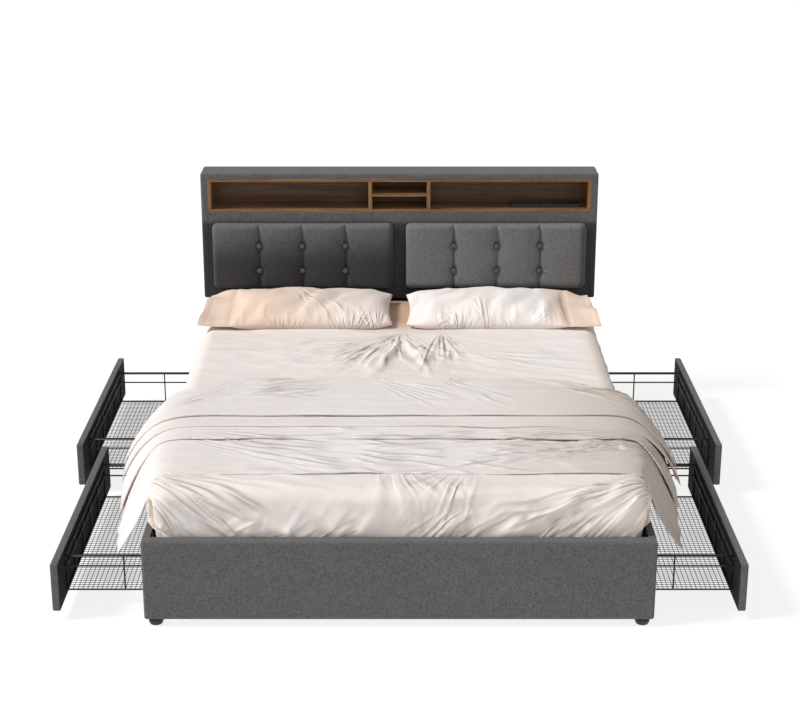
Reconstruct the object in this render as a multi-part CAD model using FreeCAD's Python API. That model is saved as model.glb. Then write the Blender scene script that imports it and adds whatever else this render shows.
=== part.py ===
"""Queen-size platform bed: storage headboard, upholstered base, and four wire-basket drawers on rollers.

Millimetres, +Z up, +Y from the foot to the head, +X to the right seen from the foot. The origin is on the
floor, under the middle of the bed's outline. The drawers are drawn open, where their joints read zero.
"""

import FreeCAD, Part
import os

Vector = FreeCAD.Vector
os.makedirs("parts", exist_ok=True)

# ---------------------------------------------------------------- driving dimensions
BED_LENGTH = 2215.0             # footboard front face to headboard back
BASE_HALF_WIDTH = 800.0         # centre line to the outer face of a side rail
BASE_BOTTOM = 27.0              # underside of the upholstered base
BASE_TOP = 294.0                # top of the footboard and the side rails
FABRIC = 3.0                    # upholstery fabric with its thin wadding
FOOTBOARD_THICK = 40.0
RAIL_THICK = 25.0
RAIL_BOTTOM = 200.0             # the drawer fronts close below this
FOOT_RADIUS = 23.5

HEAD_HALF_WIDTH = 819.0
HEAD_BOTTOM = 453.0
HEAD_TOP = 985.5
HEAD_DEPTH = 142.5
PANEL_THICK = 18.0              # headboard front panel
BACK_THICK = 8.0                # headboard back panel and shelf back board
SHELF_BOARD = 14.0
SHELF_HALF_WIDTH = 791.0        # outer face of the walnut shelf box
SHELF_BOTTOM = 821.0
SHELF_TOP = 964.0
DIVIDER_X = 120.0
DIVIDER_THICK = 15.0
MIDDLE_BOARD_Z = (889.0, 901.0)

CUSHION_X = (27.0, 774.0)
CUSHION_Z = (505.0, 777.0)
CUSHION_THICK = 50.0
BUTTON_X = (224.0, 402.5, 581.0)
BUTTON_Z = (582.0, 688.0)
BUTTON_RADIUS = 11.0
BUTTON_THICK = 8.0
BUTTON_DIP = 20.0               # how far a button pulls the cushion in

LEG_X = (725.0, 785.0)          # headboard posts
LEG_DEPTH = 60.0
STRETCHER_DROP = 70.0           # how far the stretcher between the posts shows below the headboard

SLAT_THICK = 18.0
SLAT_WIDTH = 70.0
SLAT_COUNT = 13
SLAT_TOP = 245.0
BEAM_HALF_WIDTH = 30.0
STEEL = 2.5                     # slat ledge sheet
LEDGE_WIDTH = 35.0
TUBE = 30.0                     # width of cross rails and support legs

FRONT_THICK = 24.0              # drawer front with its fabric
FRONT_Z = (34.0, 196.0)
NEAR_FRONT_Y = (-1062.5, -62.5)
FAR_FRONT_Y = (-52.5, 937.5)
NEAR_OPEN = 295.0               # how far the foot-end drawers stand open
FAR_OPEN = 392.0                # how far the head-end drawers stand open
BASKET_INSET = 125.0            # basket side wall in from the end of its front
BASKET_DEPTH = 560.0
BASKET_WALL = 5.0
BASKET_Z = (44.5, 167.5)
BASKET_MID_RAIL = 131.0         # centre height of the second wire
BASKET_POST_PITCH = 163.0
FLOOR_MESH_PITCH = 62.0
FLOOR_MESH_WIRE = 8.0

ROLLER_RADIUS = 10.0
ROLLER_GAP = 0.3                # between a roller and each flange of its channel
AXLE_RADIUS = 3.0
AXLE_FIT = 0.05                 # radial running clearance of a roller on its axle
ROLLER_Y = (1.5, 8.5)           # roller span, measured out from the basket wall
CHANNEL_Y = (1.0, 14.0)         # channel span, measured out from the basket wall
CHANNEL_STEEL = 1.5
RUNNER_WIDTH = 11.0             # basket runner that lies on the front rollers
RUNNER_THICK = 3.0
FRONT_ROLLER_IN = 48.0          # front roller axle in from the rail's outer face
REAR_AXLE_IN = 18.0             # rear roller axle in from the back of the basket

MATTRESS_X = 762.0
MATTRESS_Y = (-1060.0, 962.0)
MATTRESS_TOP = 445.0
COVERLET_X = 940.0
COVERLET_TOP_Y = (-895.0, -60.0)
COVERLET_SKIRT_Y = (-990.0, -90.0)
COVERLET_TOP = 480.0
COVERLET_HEM = 205.0
COVERLET_SKIRT_INNER = 804.0
THROW_Y = (-450.0, -30.0)
THROW_THICK = 14.0
THROW_HEM = 240.0
PILLOW_X = (28.0, 802.0)
PILLOW_Y = (530.0, 908.0)
PILLOW_TOP = 560.0
SOFT_GAP = 0.5                  # between one bedding layer and the next

# ---------------------------------------------------------------- derived planes
FOOT_FACE = -BED_LENGTH / 2
HEAD_BACK = BED_LENGTH / 2
HEAD_FACE = HEAD_BACK - HEAD_DEPTH
FOOTBOARD_BACK = FOOT_FACE + FOOTBOARD_THICK
RAIL_INNER = BASE_HALF_WIDTH - RAIL_THICK
LEG_FRONT = HEAD_FACE + PANEL_THICK + 7.0
SLAT_BOTTOM = SLAT_TOP - SLAT_THICK
FRONT_BACK_X = BASE_HALF_WIDTH - FRONT_THICK        # back of a closed drawer front
BASKET_REAR_X = FRONT_BACK_X - BASKET_DEPTH         # back of a closed basket
RUNNER_Z = (BASKET_Z[1] - RUNNER_THICK, BASKET_Z[1])
REAR_AXLE_Z = RUNNER_Z[0] + 0.5
CHANNEL_Z = (REAR_AXLE_Z - ROLLER_RADIUS - ROLLER_GAP, REAR_AXLE_Z + ROLLER_RADIUS + ROLLER_GAP)
FRONT_AXLE_Z = RUNNER_Z[0] - 0.2 - ROLLER_RADIUS
FRONT_AXLE_X = BASE_HALF_WIDTH - FRONT_ROLLER_IN
CROSS_RAIL_Z = (CHANNEL_Z[1] + CHANNEL_STEEL, SLAT_BOTTOM - STEEL)
MID_LEG_Y = (NEAR_FRONT_Y[1] + FAR_FRONT_Y[0]) / 2
BUTTON_FACE = HEAD_FACE - CUSHION_THICK + BUTTON_DIP


# ---------------------------------------------------------------- helpers
def block(x, y, z):
    """A box from three (low, high) pairs."""
    size = Vector(x[1] - x[0], y[1] - y[0], z[1] - z[0])
    return Part.makeBox(size.x, size.y, size.z, Vector(x[0], y[0], z[0]))


def mirrored(shape):
    """The same shape on the other side of the bed's centre line."""
    return shape.mirror(Vector(0, 0, 0), Vector(1, 0, 0))


def both_sides(shapes):
    """Right-hand shapes and their left-hand twins."""
    return shapes + [mirrored(shape) for shape in shapes]


def rounded(shape, radius, chosen):
    """Fillet the edges for which chosen(middle point, direction) is true."""
    edges = []
    for edge in shape.Edges:
        first, last = edge.Vertexes[0].Point, edge.Vertexes[-1].Point
        if chosen((first + last) * 0.5, last - first):
            edges.append(edge)
    return shape.makeFillet(radius, edges)


def upright(middle, direction):
    """True for an edge that stands up."""
    return abs(direction.z) > 1.0


def cylinder_y(x, y, z, radius):
    """A cylinder along Y between the two values of y."""
    return Part.makeCylinder(radius, y[1] - y[0], Vector(x, y[0], z), Vector(0, 1, 0))


def outward_span(wall, side, span):
    """Y span measured out from a basket wall, towards +Y for side 1 and -Y for side -1."""
    ends = [wall + side * span[0], wall + side * span[1]]
    return (min(ends), max(ends))


def save(node, shapes):
    """Write one node's solids to its STEP file."""
    Part.makeCompound(shapes).exportStep("parts/%s.step" % node)


def save_pair(stem, shape):
    """Write a right-hand solid and its left-hand twin as two nodes."""
    save(stem + "_right", [shape])
    save(stem + "_left", [mirrored(shape)])


# ---------------------------------------------------------------- headboard
def headboard_case():
    """Upholstered box of the headboard: ends, top, front, back, inner studs and posts."""
    depth = (HEAD_FACE, HEAD_BACK)
    end = block((SHELF_HALF_WIDTH, HEAD_HALF_WIDTH), depth, (HEAD_BOTTOM, HEAD_TOP))
    end = rounded(end, 8.0, lambda mid, way: mid.x > HEAD_HALF_WIDTH - 1.0)
    save_pair("headboard_end", end)

    inside = (-SHELF_HALF_WIDTH, SHELF_HALF_WIDTH)
    top = block(inside, depth, (SHELF_TOP, HEAD_TOP))
    top = rounded(top, 8.0, lambda mid, way: mid.z > HEAD_TOP - 1.0 and abs(way.x) > 1.0)
    save("headboard_top", [top])

    front = (HEAD_FACE, HEAD_FACE + PANEL_THICK)
    save("headboard_front_panel", [block(inside, front, (HEAD_BOTTOM, SHELF_BOTTOM))])
    back = (HEAD_BACK - BACK_THICK, HEAD_BACK)
    save("headboard_back_panel", [block(inside, back, (HEAD_BOTTOM, SHELF_TOP))])

    cavity = (HEAD_FACE + PANEL_THICK, HEAD_BACK - BACK_THICK)
    batten_top = HEAD_BOTTOM + 22.0
    studs = [block((-LEG_X[0] + 5.0, LEG_X[0] - 5.0), cavity, (HEAD_BOTTOM - STRETCHER_DROP, batten_top))]
    for middle in (-350.0, 0.0, 350.0):
        studs.append(block((middle - 20.0, middle + 20.0), cavity, (batten_top, SHELF_BOTTOM)))
    save("headboard_studs", studs)

    post = block(LEG_X, (LEG_FRONT, LEG_FRONT + LEG_DEPTH), (BASE_BOTTOM, SHELF_BOTTOM - 20.0))
    save("headboard_legs", both_sides([post]))


def shelf_box():
    """Walnut shelf across the top of the headboard, with a divided centre bay."""
    back = HEAD_BACK - BACK_THICK
    depth = (HEAD_FACE, back - BACK_THICK)
    inside_z = (SHELF_BOTTOM + SHELF_BOARD, SHELF_TOP - SHELF_BOARD)
    across = (-SHELF_HALF_WIDTH, SHELF_HALF_WIDTH)
    save("shelf_bottom_board", [block(across, depth, (SHELF_BOTTOM, inside_z[0]))])
    save("shelf_top_board", [block(across, depth, (inside_z[1], SHELF_TOP))])
    save("shelf_back_board", [block(across, (depth[1], back), (SHELF_BOTTOM, SHELF_TOP))])
    save_pair("shelf_side", block((SHELF_HALF_WIDTH - SHELF_BOARD, SHELF_HALF_WIDTH), depth, inside_z))
    half = DIVIDER_THICK / 2
    save_pair("shelf_divider", block((DIVIDER_X - half, DIVIDER_X + half), depth, inside_z))
    between = (-DIVIDER_X + half, DIVIDER_X - half)
    save("shelf_middle_board", [block(between, depth, MIDDLE_BOARD_Z)])


def back_cushions():
    """Two tufted back cushions on the front panel, and the buttons that pull them in."""
    cushion = block(CUSHION_X, (HEAD_FACE - CUSHION_THICK, HEAD_FACE), CUSHION_Z)
    cushion = rounded(cushion, 18.0, lambda mid, way: mid.y < HEAD_FACE - 1.0)
    buttons = []
    for x in BUTTON_X:
        for z in BUTTON_Z:
            dip = cylinder_y(x, (HEAD_FACE - CUSHION_THICK - 5.0, BUTTON_FACE), z, BUTTON_RADIUS + 2.0)
            cushion = cushion.cut(dip)
            buttons.append(cylinder_y(x, (BUTTON_FACE - BUTTON_THICK, BUTTON_FACE), z, BUTTON_RADIUS))
    save_pair("back_cushion", cushion)
    save("cushion_buttons", both_sides(buttons))


def power_strip():
    """Slim outlet strip on the floor of the right-hand shelf bay, with a bushed inlet at its end."""
    floor = SHELF_BOTTOM + SHELF_BOARD
    x, y, height = (462.0, 748.0), (HEAD_FACE + 36.0, HEAD_FACE + 78.0), 12.0
    middle = (y[0] + y[1]) / 2
    body = rounded(block(x, y, (floor, floor + height)), 2.0, upright)
    gland = Part.makeCylinder(4.5, 12.0, Vector(x[1], middle, floor + 6.0), Vector(1, 0, 0))
    save("power_strip_housing", [body.fuse(gland).removeSplitter()])
    faces = []
    plate = (floor + height, floor + height + 1.5)
    for start, length, half in ((478.0, 44.0, 15.0), (534.0, 44.0, 15.0), (590.0, 44.0, 15.0),
                                (652.0, 18.0, 6.0), (680.0, 18.0, 6.0)):
        faces.append(block((start, start + length), (middle - half, middle + half), plate))
    save("power_strip_outlets", faces)


# ---------------------------------------------------------------- base
def wrapped(x, y, z, open_side):
    """A board and the block its fabric is cut from. open_side lists bare faces as (axis, 0 low or 1 high)."""
    spans = [list(x), list(y), list(z)]
    for axis in range(3):
        for end, step in ((0, FABRIC), (1, -FABRIC)):
            if (axis, end) not in open_side:
                spans[axis][end] += step
    core = block(*spans)
    cover = block(x, y, z)
    return core, cover


def footboard():
    """Upholstered board across the foot."""
    x = (-BASE_HALF_WIDTH, BASE_HALF_WIDTH)
    core, cover = wrapped(x, (FOOT_FACE, FOOTBOARD_BACK), (BASE_BOTTOM, BASE_TOP), [(1, 1)])
    cover = rounded(cover, 10.0, lambda mid, way: mid.y < FOOT_FACE + 1.0 and abs(way.z) > 1.0)
    cover = rounded(cover, 2.5, lambda mid, way: mid.y < FOOT_FACE + 1.0 and abs(way.x) > 1.0)
    core = rounded(core, 9.0, lambda mid, way: mid.y < FOOT_FACE + FABRIC + 1.0 and abs(way.z) > 1.0)
    save("footboard_core", [core])
    save("footboard_cover", [cover.cut(core)])


def side_rails():
    """Upholstered rails above the drawers, with the steel ledges that carry the slats."""
    span = (FOOTBOARD_BACK, LEG_FRONT)
    bare_faces = [(0, 0), (1, 0), (1, 1)]
    core, cover = wrapped((RAIL_INNER, BASE_HALF_WIDTH), span, (RAIL_BOTTOM, BASE_TOP), bare_faces)
    save_pair("side_rail_core", core)
    save_pair("side_rail_cover", cover.cut(core))

    flat = block((RAIL_INNER - LEDGE_WIDTH, RAIL_INNER), span, (SLAT_BOTTOM - STEEL, SLAT_BOTTOM))
    web = block((RAIL_INNER - STEEL, RAIL_INNER), span, (RAIL_BOTTOM + FABRIC, SLAT_BOTTOM - STEEL))
    save("slat_ledges", both_sides([flat.fuse(web).removeSplitter()]))


def under_frame():
    """Centre beam, cross rails, slats, support legs and feet."""
    span = (FOOTBOARD_BACK, HEAD_FACE + PANEL_THICK)
    half = BEAM_HALF_WIDTH
    save("centre_beam", [block((-half, half), span, (CROSS_RAIL_Z[0], SLAT_BOTTOM))])

    rails = []
    for front in (NEAR_FRONT_Y, FAR_FRONT_Y):
        for wall, side in basket_walls(front):
            across = outward_span(wall, side, (0.0, TUBE))
            rails.append(block((half, RAIL_INNER - STEEL), across, CROSS_RAIL_Z))
    save("cross_rails", both_sides(rails))

    slats = []
    slat_x = (-RAIL_INNER + 5.0, RAIL_INNER - 5.0)
    first = FOOTBOARD_BACK + 20.0
    pitch = (HEAD_FACE - 15.0 - SLAT_WIDTH - first) / (SLAT_COUNT - 1)
    for index in range(SLAT_COUNT):
        start = first + index * pitch
        slats.append(block(slat_x, (start, start + SLAT_WIDTH), (SLAT_BOTTOM, SLAT_TOP)))
    save("slats", slats)

    legs, feet = [], []
    leg_reach = TUBE / 2
    side_x = RAIL_INNER - STEEL - leg_reach
    places = [(0.0, y, CROSS_RAIL_Z[0]) for y in (-700.0, MID_LEG_Y, 600.0)]
    places += [(side * side_x, MID_LEG_Y, SLAT_BOTTOM - STEEL) for side in (-1, 1)]
    for x, y, top in places:
        legs.append(block((x - leg_reach, x + leg_reach), (y - leg_reach, y + leg_reach), (BASE_BOTTOM, top)))
        feet.append((x, y))
    save("support_legs", legs)

    foot_x = BASE_HALF_WIDTH - 10.0 - FOOT_RADIUS
    post_x = (LEG_X[0] + LEG_X[1]) / 2
    for side in (-1, 1):
        feet.append((side * foot_x, FOOT_FACE + 9.0 + FOOT_RADIUS))
        feet.append((side * post_x, LEG_FRONT + LEG_DEPTH / 2))
    discs = []
    for x, y in feet:
        disc = Part.makeCylinder(FOOT_RADIUS, BASE_BOTTOM, Vector(x, y, 0.0))
        discs.append(rounded(disc, 3.0, lambda mid, way: mid.z < 1.0))
    save("feet", discs)


def corner_fixings():
    """Steel angles that join the rails to the footboard and the headboard posts, with their bolts."""
    plate, reach, z = 4.0, 60.0, (SLAT_TOP - 13.0, BASE_TOP - 9.0)
    middle_z = (z[0] + z[1]) / 2
    brackets, bolts = [], []
    for face, inward in ((FOOTBOARD_BACK, 1), (LEG_FRONT, -1)):
        along = outward_span(face, inward, (0.0, reach))
        across = outward_span(face, inward, (0.0, plate))
        arm = block((RAIL_INNER - plate, RAIL_INNER), along, z)
        flat = block((LEG_X[0], RAIL_INNER), across, z)
        brackets.append(arm.fuse(flat).removeSplitter())
        for step in (20.0, 45.0):
            seat = Vector(RAIL_INNER - plate, face + inward * step, middle_z)
            head = Part.makeCylinder(7.0, 4.0, seat, Vector(-1, 0, 0))
            bolts.append(rounded(head, 1.5, lambda mid, way: mid.x < RAIL_INNER - plate - 3.0))
    save("corner_brackets", both_sides(brackets))
    save("bracket_bolts", both_sides(bolts))


# ---------------------------------------------------------------- drawers
def basket_walls(front):
    """The outer faces of a basket's two side walls, each with the way it faces."""
    return ((front[0] + BASKET_INSET, -1), (front[1] - BASKET_INSET, 1))


def moved(shape, opening):
    """Slide a closed drawer piece out by its opening."""
    return shape.translated(Vector(opening, 0, 0))


def wire_panel(along, across, z, posts, bars, flat_axis):
    """A welded wire wall as a slotted plate: windows between the posts and the bars are open."""
    wire = BASKET_WALL
    plate = block(*((along, across, z) if flat_axis == "y" else (across, along, z)))
    windows = []
    for left, right in zip(posts[:-1], posts[1:]):
        for low, high in zip(bars[:-1], bars[1:]):
            window = (left + wire / 2, right - wire / 2)
            height = (low + wire / 2, high - wire / 2)
            through = (across[0] - 1.0, across[1] + 1.0)
            if flat_axis == "y":
                windows.append(block(window, through, height))
            else:
                windows.append(block(through, window, height))
    return plate.cut(windows)


def evenly(span, pitch):
    """Wire centres across a span, half a wire in from its edges, as near the pitch as divides it evenly."""
    low, high = span[0] + BASKET_WALL / 2, span[1] - BASKET_WALL / 2
    count = round((high - low) / pitch)
    return [low + (high - low) * index / count for index in range(count + 1)]


def basket(front):
    """Wire basket of a closed drawer: four walls, a mesh floor, two runners and the rear axles."""
    y = (front[0] + BASKET_INSET, front[1] - BASKET_INSET)
    x = (BASKET_REAR_X, FRONT_BACK_X)
    wall = BASKET_WALL
    bars = [BASKET_Z[0] + wall / 2, BASKET_MID_RAIL, BASKET_Z[1] - wall / 2]
    solids = []
    for face, side in basket_walls(front):
        across = outward_span(face, -side, (0.0, wall))
        panel = wire_panel(x, across, BASKET_Z, evenly(x, BASKET_POST_PITCH), bars, "y")
        ear = block((x[0], x[0] + 2 * REAR_AXLE_IN), across, (REAR_AXLE_Z - 15.0, REAR_AXLE_Z + 7.0))
        solids.append(panel.fuse(ear).removeSplitter())
        runner_x = (x[0] + 2 * REAR_AXLE_IN + 4.0, x[1])
        solids.append(block(runner_x, outward_span(face, side, (0.0, RUNNER_WIDTH)), RUNNER_Z))
        axle_y = outward_span(face, side, (0.0, ROLLER_Y[1]))
        solids.append(cylinder_y(x[0] + REAR_AXLE_IN, axle_y, REAR_AXLE_Z, AXLE_RADIUS))
    inner_y = (y[0] + wall, y[1] - wall)
    for across in ((x[0], x[0] + wall), (x[1] - wall, x[1])):
        solids.append(wire_panel(inner_y, across, BASKET_Z, evenly(inner_y, BASKET_POST_PITCH), bars, "x"))
    solids.append(mesh_floor((x[0] + wall, x[1] - wall), inner_y))
    return solids


def mesh_floor(x, y):
    """Welded mesh floor between the walls, as a thin plate with square openings."""
    z = (BASKET_Z[0], BASKET_Z[0] + 3.0)
    plate = block(x, y, z)
    gap = FLOOR_MESH_WIRE / 2
    columns = evenly(x, FLOOR_MESH_PITCH)
    rows = evenly(y, FLOOR_MESH_PITCH)
    holes = []
    for left, right in zip(columns[:-1], columns[1:]):
        for low, high in zip(rows[:-1], rows[1:]):
            holes.append(block((left + gap, right - gap), (low + gap, high - gap), (z[0] - 1.0, z[1] + 1.0)))
    return plate.cut(holes)


def roller(x, y, z):
    """A nylon roller with its bore."""
    wheel = cylinder_y(x, y, z, ROLLER_RADIUS)
    bore = cylinder_y(x, (y[0] - 1.0, y[1] + 1.0), z, AXLE_RADIUS + AXLE_FIT)
    return wheel.cut(bore)


def drawer(name, front, opening):
    """Both drawers, left and right, at one place along the bed."""
    core, cover = wrapped((FRONT_BACK_X, BASE_HALF_WIDTH), front, FRONT_Z, [(0, 0)])
    cover = rounded(cover, 2.0, lambda mid, way: mid.x > BASE_HALF_WIDTH - 1.0)
    pieces = {
        "front_board": [moved(core, opening)],
        "front_cover": [moved(cover.cut(core), opening)],
        "basket": [moved(solid, opening) for solid in basket(front)],
    }
    rear, fixed = [], []
    for face, side in basket_walls(front):
        span = outward_span(face, side, ROLLER_Y)
        rear.append(moved(roller(BASKET_REAR_X + REAR_AXLE_IN, span, REAR_AXLE_Z), opening))
        fixed.append(roller(FRONT_AXLE_X, span, FRONT_AXLE_Z))
    pieces["rear_rollers"] = rear
    pieces["front_rollers"] = fixed
    for piece, solids in pieces.items():
        save("%s_right_%s" % (name, piece), solids)
        save("%s_left_%s" % (name, piece), [mirrored(solid) for solid in solids])


def drawer_channels():
    """Fixed channels under the cross rails, each with the axle of its front roller."""
    channels = []
    for front in (NEAR_FRONT_Y, FAR_FRONT_Y):
        for face, side in basket_walls(front):
            x = (BASKET_REAR_X - 10.0, RAIL_INNER)
            lip = outward_span(face, side, (CHANNEL_Y[0], CHANNEL_Y[1] - CHANNEL_STEEL))
            web = outward_span(face, side, (CHANNEL_Y[1] - CHANNEL_STEEL, CHANNEL_Y[1]))
            top = (CHANNEL_Z[1], CHANNEL_Z[1] + CHANNEL_STEEL)
            low = (CHANNEL_Z[0] - CHANNEL_STEEL, CHANNEL_Z[0])
            short_x = (x[0], FRONT_AXLE_X - ROLLER_RADIUS - 7.0)
            channels.append(block(x, web, (FRONT_AXLE_Z - ROLLER_RADIUS, top[1])))
            channels.append(block(x, lip, top))
            channels.append(block(short_x, lip, low))
            axle = outward_span(face, side, (ROLLER_Y[0], CHANNEL_Y[1] - CHANNEL_STEEL))
            channels.append(cylinder_y(FRONT_AXLE_X, axle, FRONT_AXLE_Z, AXLE_RADIUS))
    save("drawer_channels", both_sides(channels))


# ---------------------------------------------------------------- bedding
def skirted(half, top_y, skirt_y, top_z, hem, inner):
    """A slab over the mattress with a straight skirt hanging down each side, as one solid."""
    slab = block((-half, half), top_y, top_z)
    skirt = block((inner, half), skirt_y, (hem, top_z[0]))
    return slab.fuse(both_sides([skirt])).removeSplitter()


def bedding():
    """Plain solids of the mattress, coverlet, throw and pillows."""
    mattress = block((-MATTRESS_X, MATTRESS_X), MATTRESS_Y, (SLAT_TOP, MATTRESS_TOP))
    save("mattress", [rounded(mattress, 60.0, upright)])

    over = MATTRESS_TOP + SOFT_GAP
    coverlet_z = (over, COVERLET_TOP)
    save("coverlet", [skirted(COVERLET_X, COVERLET_TOP_Y, COVERLET_SKIRT_Y, coverlet_z, COVERLET_HEM,
                              COVERLET_SKIRT_INNER)])

    throw_z = (COVERLET_TOP + SOFT_GAP, COVERLET_TOP + SOFT_GAP + THROW_THICK)
    inner = COVERLET_X + SOFT_GAP
    save("throw", [skirted(inner + THROW_THICK, THROW_Y, THROW_Y, throw_z, THROW_HEM, inner)])

    pillow = block(PILLOW_X, PILLOW_Y, (over, PILLOW_TOP))
    pillow = rounded(pillow, 70.0, upright)
    pillow = rounded(pillow, 45.0, lambda mid, way: mid.z > PILLOW_TOP - 1.0)
    save_pair("pillow", pillow)


def main():
    headboard_case()
    shelf_box()
    back_cushions()
    power_strip()
    footboard()
    side_rails()
    under_frame()
    corner_fixings()
    drawer("near", NEAR_FRONT_Y, NEAR_OPEN)
    drawer("far", FAR_FRONT_Y, FAR_OPEN)
    drawer_channels()
    bedding()


main()
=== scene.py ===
"""Looks of the storage bed: upholstered base and headboard, walnut shelf, wire-basket drawers and bedding.

Metres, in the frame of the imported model: +Y runs from the foot to the head, +X to the right, +Z up.
"""
import logging
import math
import random
from dataclasses import dataclass
from enum import Enum
from functools import reduce
from itertools import product
from operator import attrgetter
from typing import Callable, Sequence

import bmesh
import bpy
from mathutils import Matrix, Vector, noise


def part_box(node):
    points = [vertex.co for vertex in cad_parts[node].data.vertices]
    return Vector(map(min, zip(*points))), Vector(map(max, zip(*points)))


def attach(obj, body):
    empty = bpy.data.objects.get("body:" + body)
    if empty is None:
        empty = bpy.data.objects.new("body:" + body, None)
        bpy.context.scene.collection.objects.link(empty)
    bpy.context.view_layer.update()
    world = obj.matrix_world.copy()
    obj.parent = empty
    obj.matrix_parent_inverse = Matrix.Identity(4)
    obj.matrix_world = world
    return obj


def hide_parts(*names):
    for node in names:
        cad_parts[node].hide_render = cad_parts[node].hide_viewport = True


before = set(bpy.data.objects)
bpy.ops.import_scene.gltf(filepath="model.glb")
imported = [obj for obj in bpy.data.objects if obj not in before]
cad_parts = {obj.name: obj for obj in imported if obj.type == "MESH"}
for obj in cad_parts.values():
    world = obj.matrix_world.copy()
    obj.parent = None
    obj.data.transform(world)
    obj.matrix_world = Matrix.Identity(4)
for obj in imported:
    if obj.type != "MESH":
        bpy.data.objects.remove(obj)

log = logging.getLogger("bed")
Colour = tuple[float, float, float]
Point = tuple[float, float, float]
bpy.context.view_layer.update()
EDGE_LINES = 6  # steps round each rounded edge of a soft piece


# ---------------------------------------------------------------- finishes
class Grain(Enum):
    """The axis that the wood grain runs along."""

    ACROSS = 0
    ALONG = 1
    UPRIGHT = 2


def stretched(axis: int, long: float, wide: float) -> Point:
    """Return a scale that is long along one axis and wide across it."""
    return tuple(long if each == axis else wide for each in range(3))


class Wire:
    """An output of a material's node. Sums with it make Math nodes."""

    def __init__(self, paint: "Paint", socket: bpy.types.NodeSocket) -> None:
        """Keep the output and the material that it belongs to."""
        self.paint, self.socket = paint, socket

    def __add__(self, other: object) -> "Wire":
        """Return the sum with another output or a number."""
        return self.paint.maths("ADD", self, other)

    def __sub__(self, other: object) -> "Wire":
        """Return the difference from another output or a number."""
        return self.paint.maths("SUBTRACT", self, other)

    def __mul__(self, other: object) -> "Wire":
        """Return the product with another output or a number."""
        return self.paint.maths("MULTIPLY", self, other)

    def __abs__(self) -> "Wire":
        """Return the value without its sign."""
        return self.paint.maths("ABSOLUTE", self)


class Paint:
    """A node material under construction, with short calls for the nodes that the finishes share."""

    def __init__(self, name: str) -> None:
        """Start a material with one Principled shader."""
        self.material = bpy.data.materials.new(name)
        self.material.use_nodes = True
        self.tree = self.material.node_tree
        self.shader = self.tree.nodes["Principled BSDF"]
        self.place = Wire(self, self.tree.nodes.new("ShaderNodeTexCoord").outputs["Object"])

    def feed(self, socket: bpy.types.NodeSocket, value: object) -> None:
        """Link an input to a wire, or set it to a constant."""
        if isinstance(value, Wire):
            self.tree.links.new(value.socket, socket)
        else:
            socket.default_value = (*value, 1.0) if socket.type == "RGBA" else value

    def node(self, kind: str, inputs: dict[int | str, object], output: int = 0, **settings: object) -> Wire:
        """Add a node.

        Args:
            kind: its type, without the ShaderNode that every type starts with.
            inputs: a wire or a constant for each input, by name or number.
            output: number of the output that is used.
            settings: properties to set on it.

        Returns:
            The output.
        """
        made = self.tree.nodes.new("ShaderNode" + kind)
        for name, value in settings.items():
            setattr(made, name, value)
        for name, value in inputs.items():
            self.feed(made.inputs[name], value)
        return Wire(self, made.outputs[output])

    def axes(self) -> list[Wire]:
        """Return the object coordinates' three parts."""
        made = self.tree.nodes.new("ShaderNodeSeparateXYZ")
        self.feed(made.inputs[0], self.place)
        return [Wire(self, part) for part in made.outputs]

    def grain(self, scale: float | Point, detail: float = 2.0, distortion: float = 0.0) -> Wire:
        """Noise with its own frequency on each axis.

        Args:
            scale: cycles per metre on X, Y and Z, or on all three.
            detail: octaves of the noise.
            distortion: how far the noise is swirled.

        Returns:
            A factor from 0 to 1.
        """
        scales = scale if isinstance(scale, tuple) else (scale,) * 3
        place = self.node("Mapping", {"Vector": self.place, "Scale": scales})
        return self.node("TexNoise", {"Vector": place, "Scale": 1.0, "Detail": detail,
                                      "Distortion": distortion})

    def fibres(self, long: float, wide: float, detail: float = 1.0) -> Wire:
        """Return the sum of three noises, each drawn out along one axis as threads are."""
        return self.total([self.grain(stretched(axis, long, wide), detail) for axis in range(3)])

    def weave(self, pitch: float) -> Wire:
        """Even ribs across all three axes, so that a weave shows on every face.

        Args:
            pitch: metres from one rib to the next.

        Returns:
            A factor from 0 to 3.
        """
        ribs = {"Vector": self.place, "Scale": math.tau / 20.0 / pitch, "Distortion": 0.6, "Detail Scale": 2.0}
        return self.total([self.node("TexWave", ribs, 1, bands_direction=axis) for axis in "XYZ"])

    def maths(self, operation: str, first: object, second: object = 0.0) -> Wire:
        """Return a Math node's result for two wires or numbers."""
        return self.node("Math", {0: first, 1: second}, operation=operation)

    def total(self, parts: Sequence[Wire]) -> Wire:
        """Return the sum of several wires."""
        return reduce(lambda first, second: first + second, parts)

    def spread(self, value: Wire, low: float, high: float, way: str = "LINEAR") -> Wire:
        """Return value stretched so that low gives 0 and high gives 1, clamped."""
        return self.node("MapRange", {"Value": value, "From Min": low, "From Max": high}, clamp=True,
                         interpolation_type=way)

    def eased(self, value: Wire, low: float, high: float) -> Wire:
        """Return value stretched as spread() does, with a smooth start and end."""
        return self.spread(value, low, high, "SMOOTHSTEP")

    def mix(self, factor: object, first: object, second: object, way: str = "MIX") -> Wire:
        """Return a mix of two colours, the first one at 0 and the second one at 1."""
        return self.node("Mix", {0: factor, 6: first, 7: second}, 2, data_type="RGBA", blend_type=way)

    def bump(self, height: Wire, distance: float) -> None:
        """Send a height to the shader's normal, where a height of 1 stands for distance in metres."""
        self.feed(self.shader.inputs["Normal"],
                  self.node("Bump", {"Strength": 1.0, "Distance": distance, "Height": height}))

    def done(self, colour: object, roughness: object, **constants: object) -> bpy.types.Material:
        """Set the shader's inputs.

        Args:
            colour: a wire or a colour.
            roughness: a wire or a number.
            constants: other inputs by name, with _ for a space.

        Returns:
            The finished material.
        """
        for name, value in {"Base_Color": colour, "Roughness": roughness, **constants}.items():
            self.feed(self.shader.inputs[name.replace("_", " ")], value)
        return self.material


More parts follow.
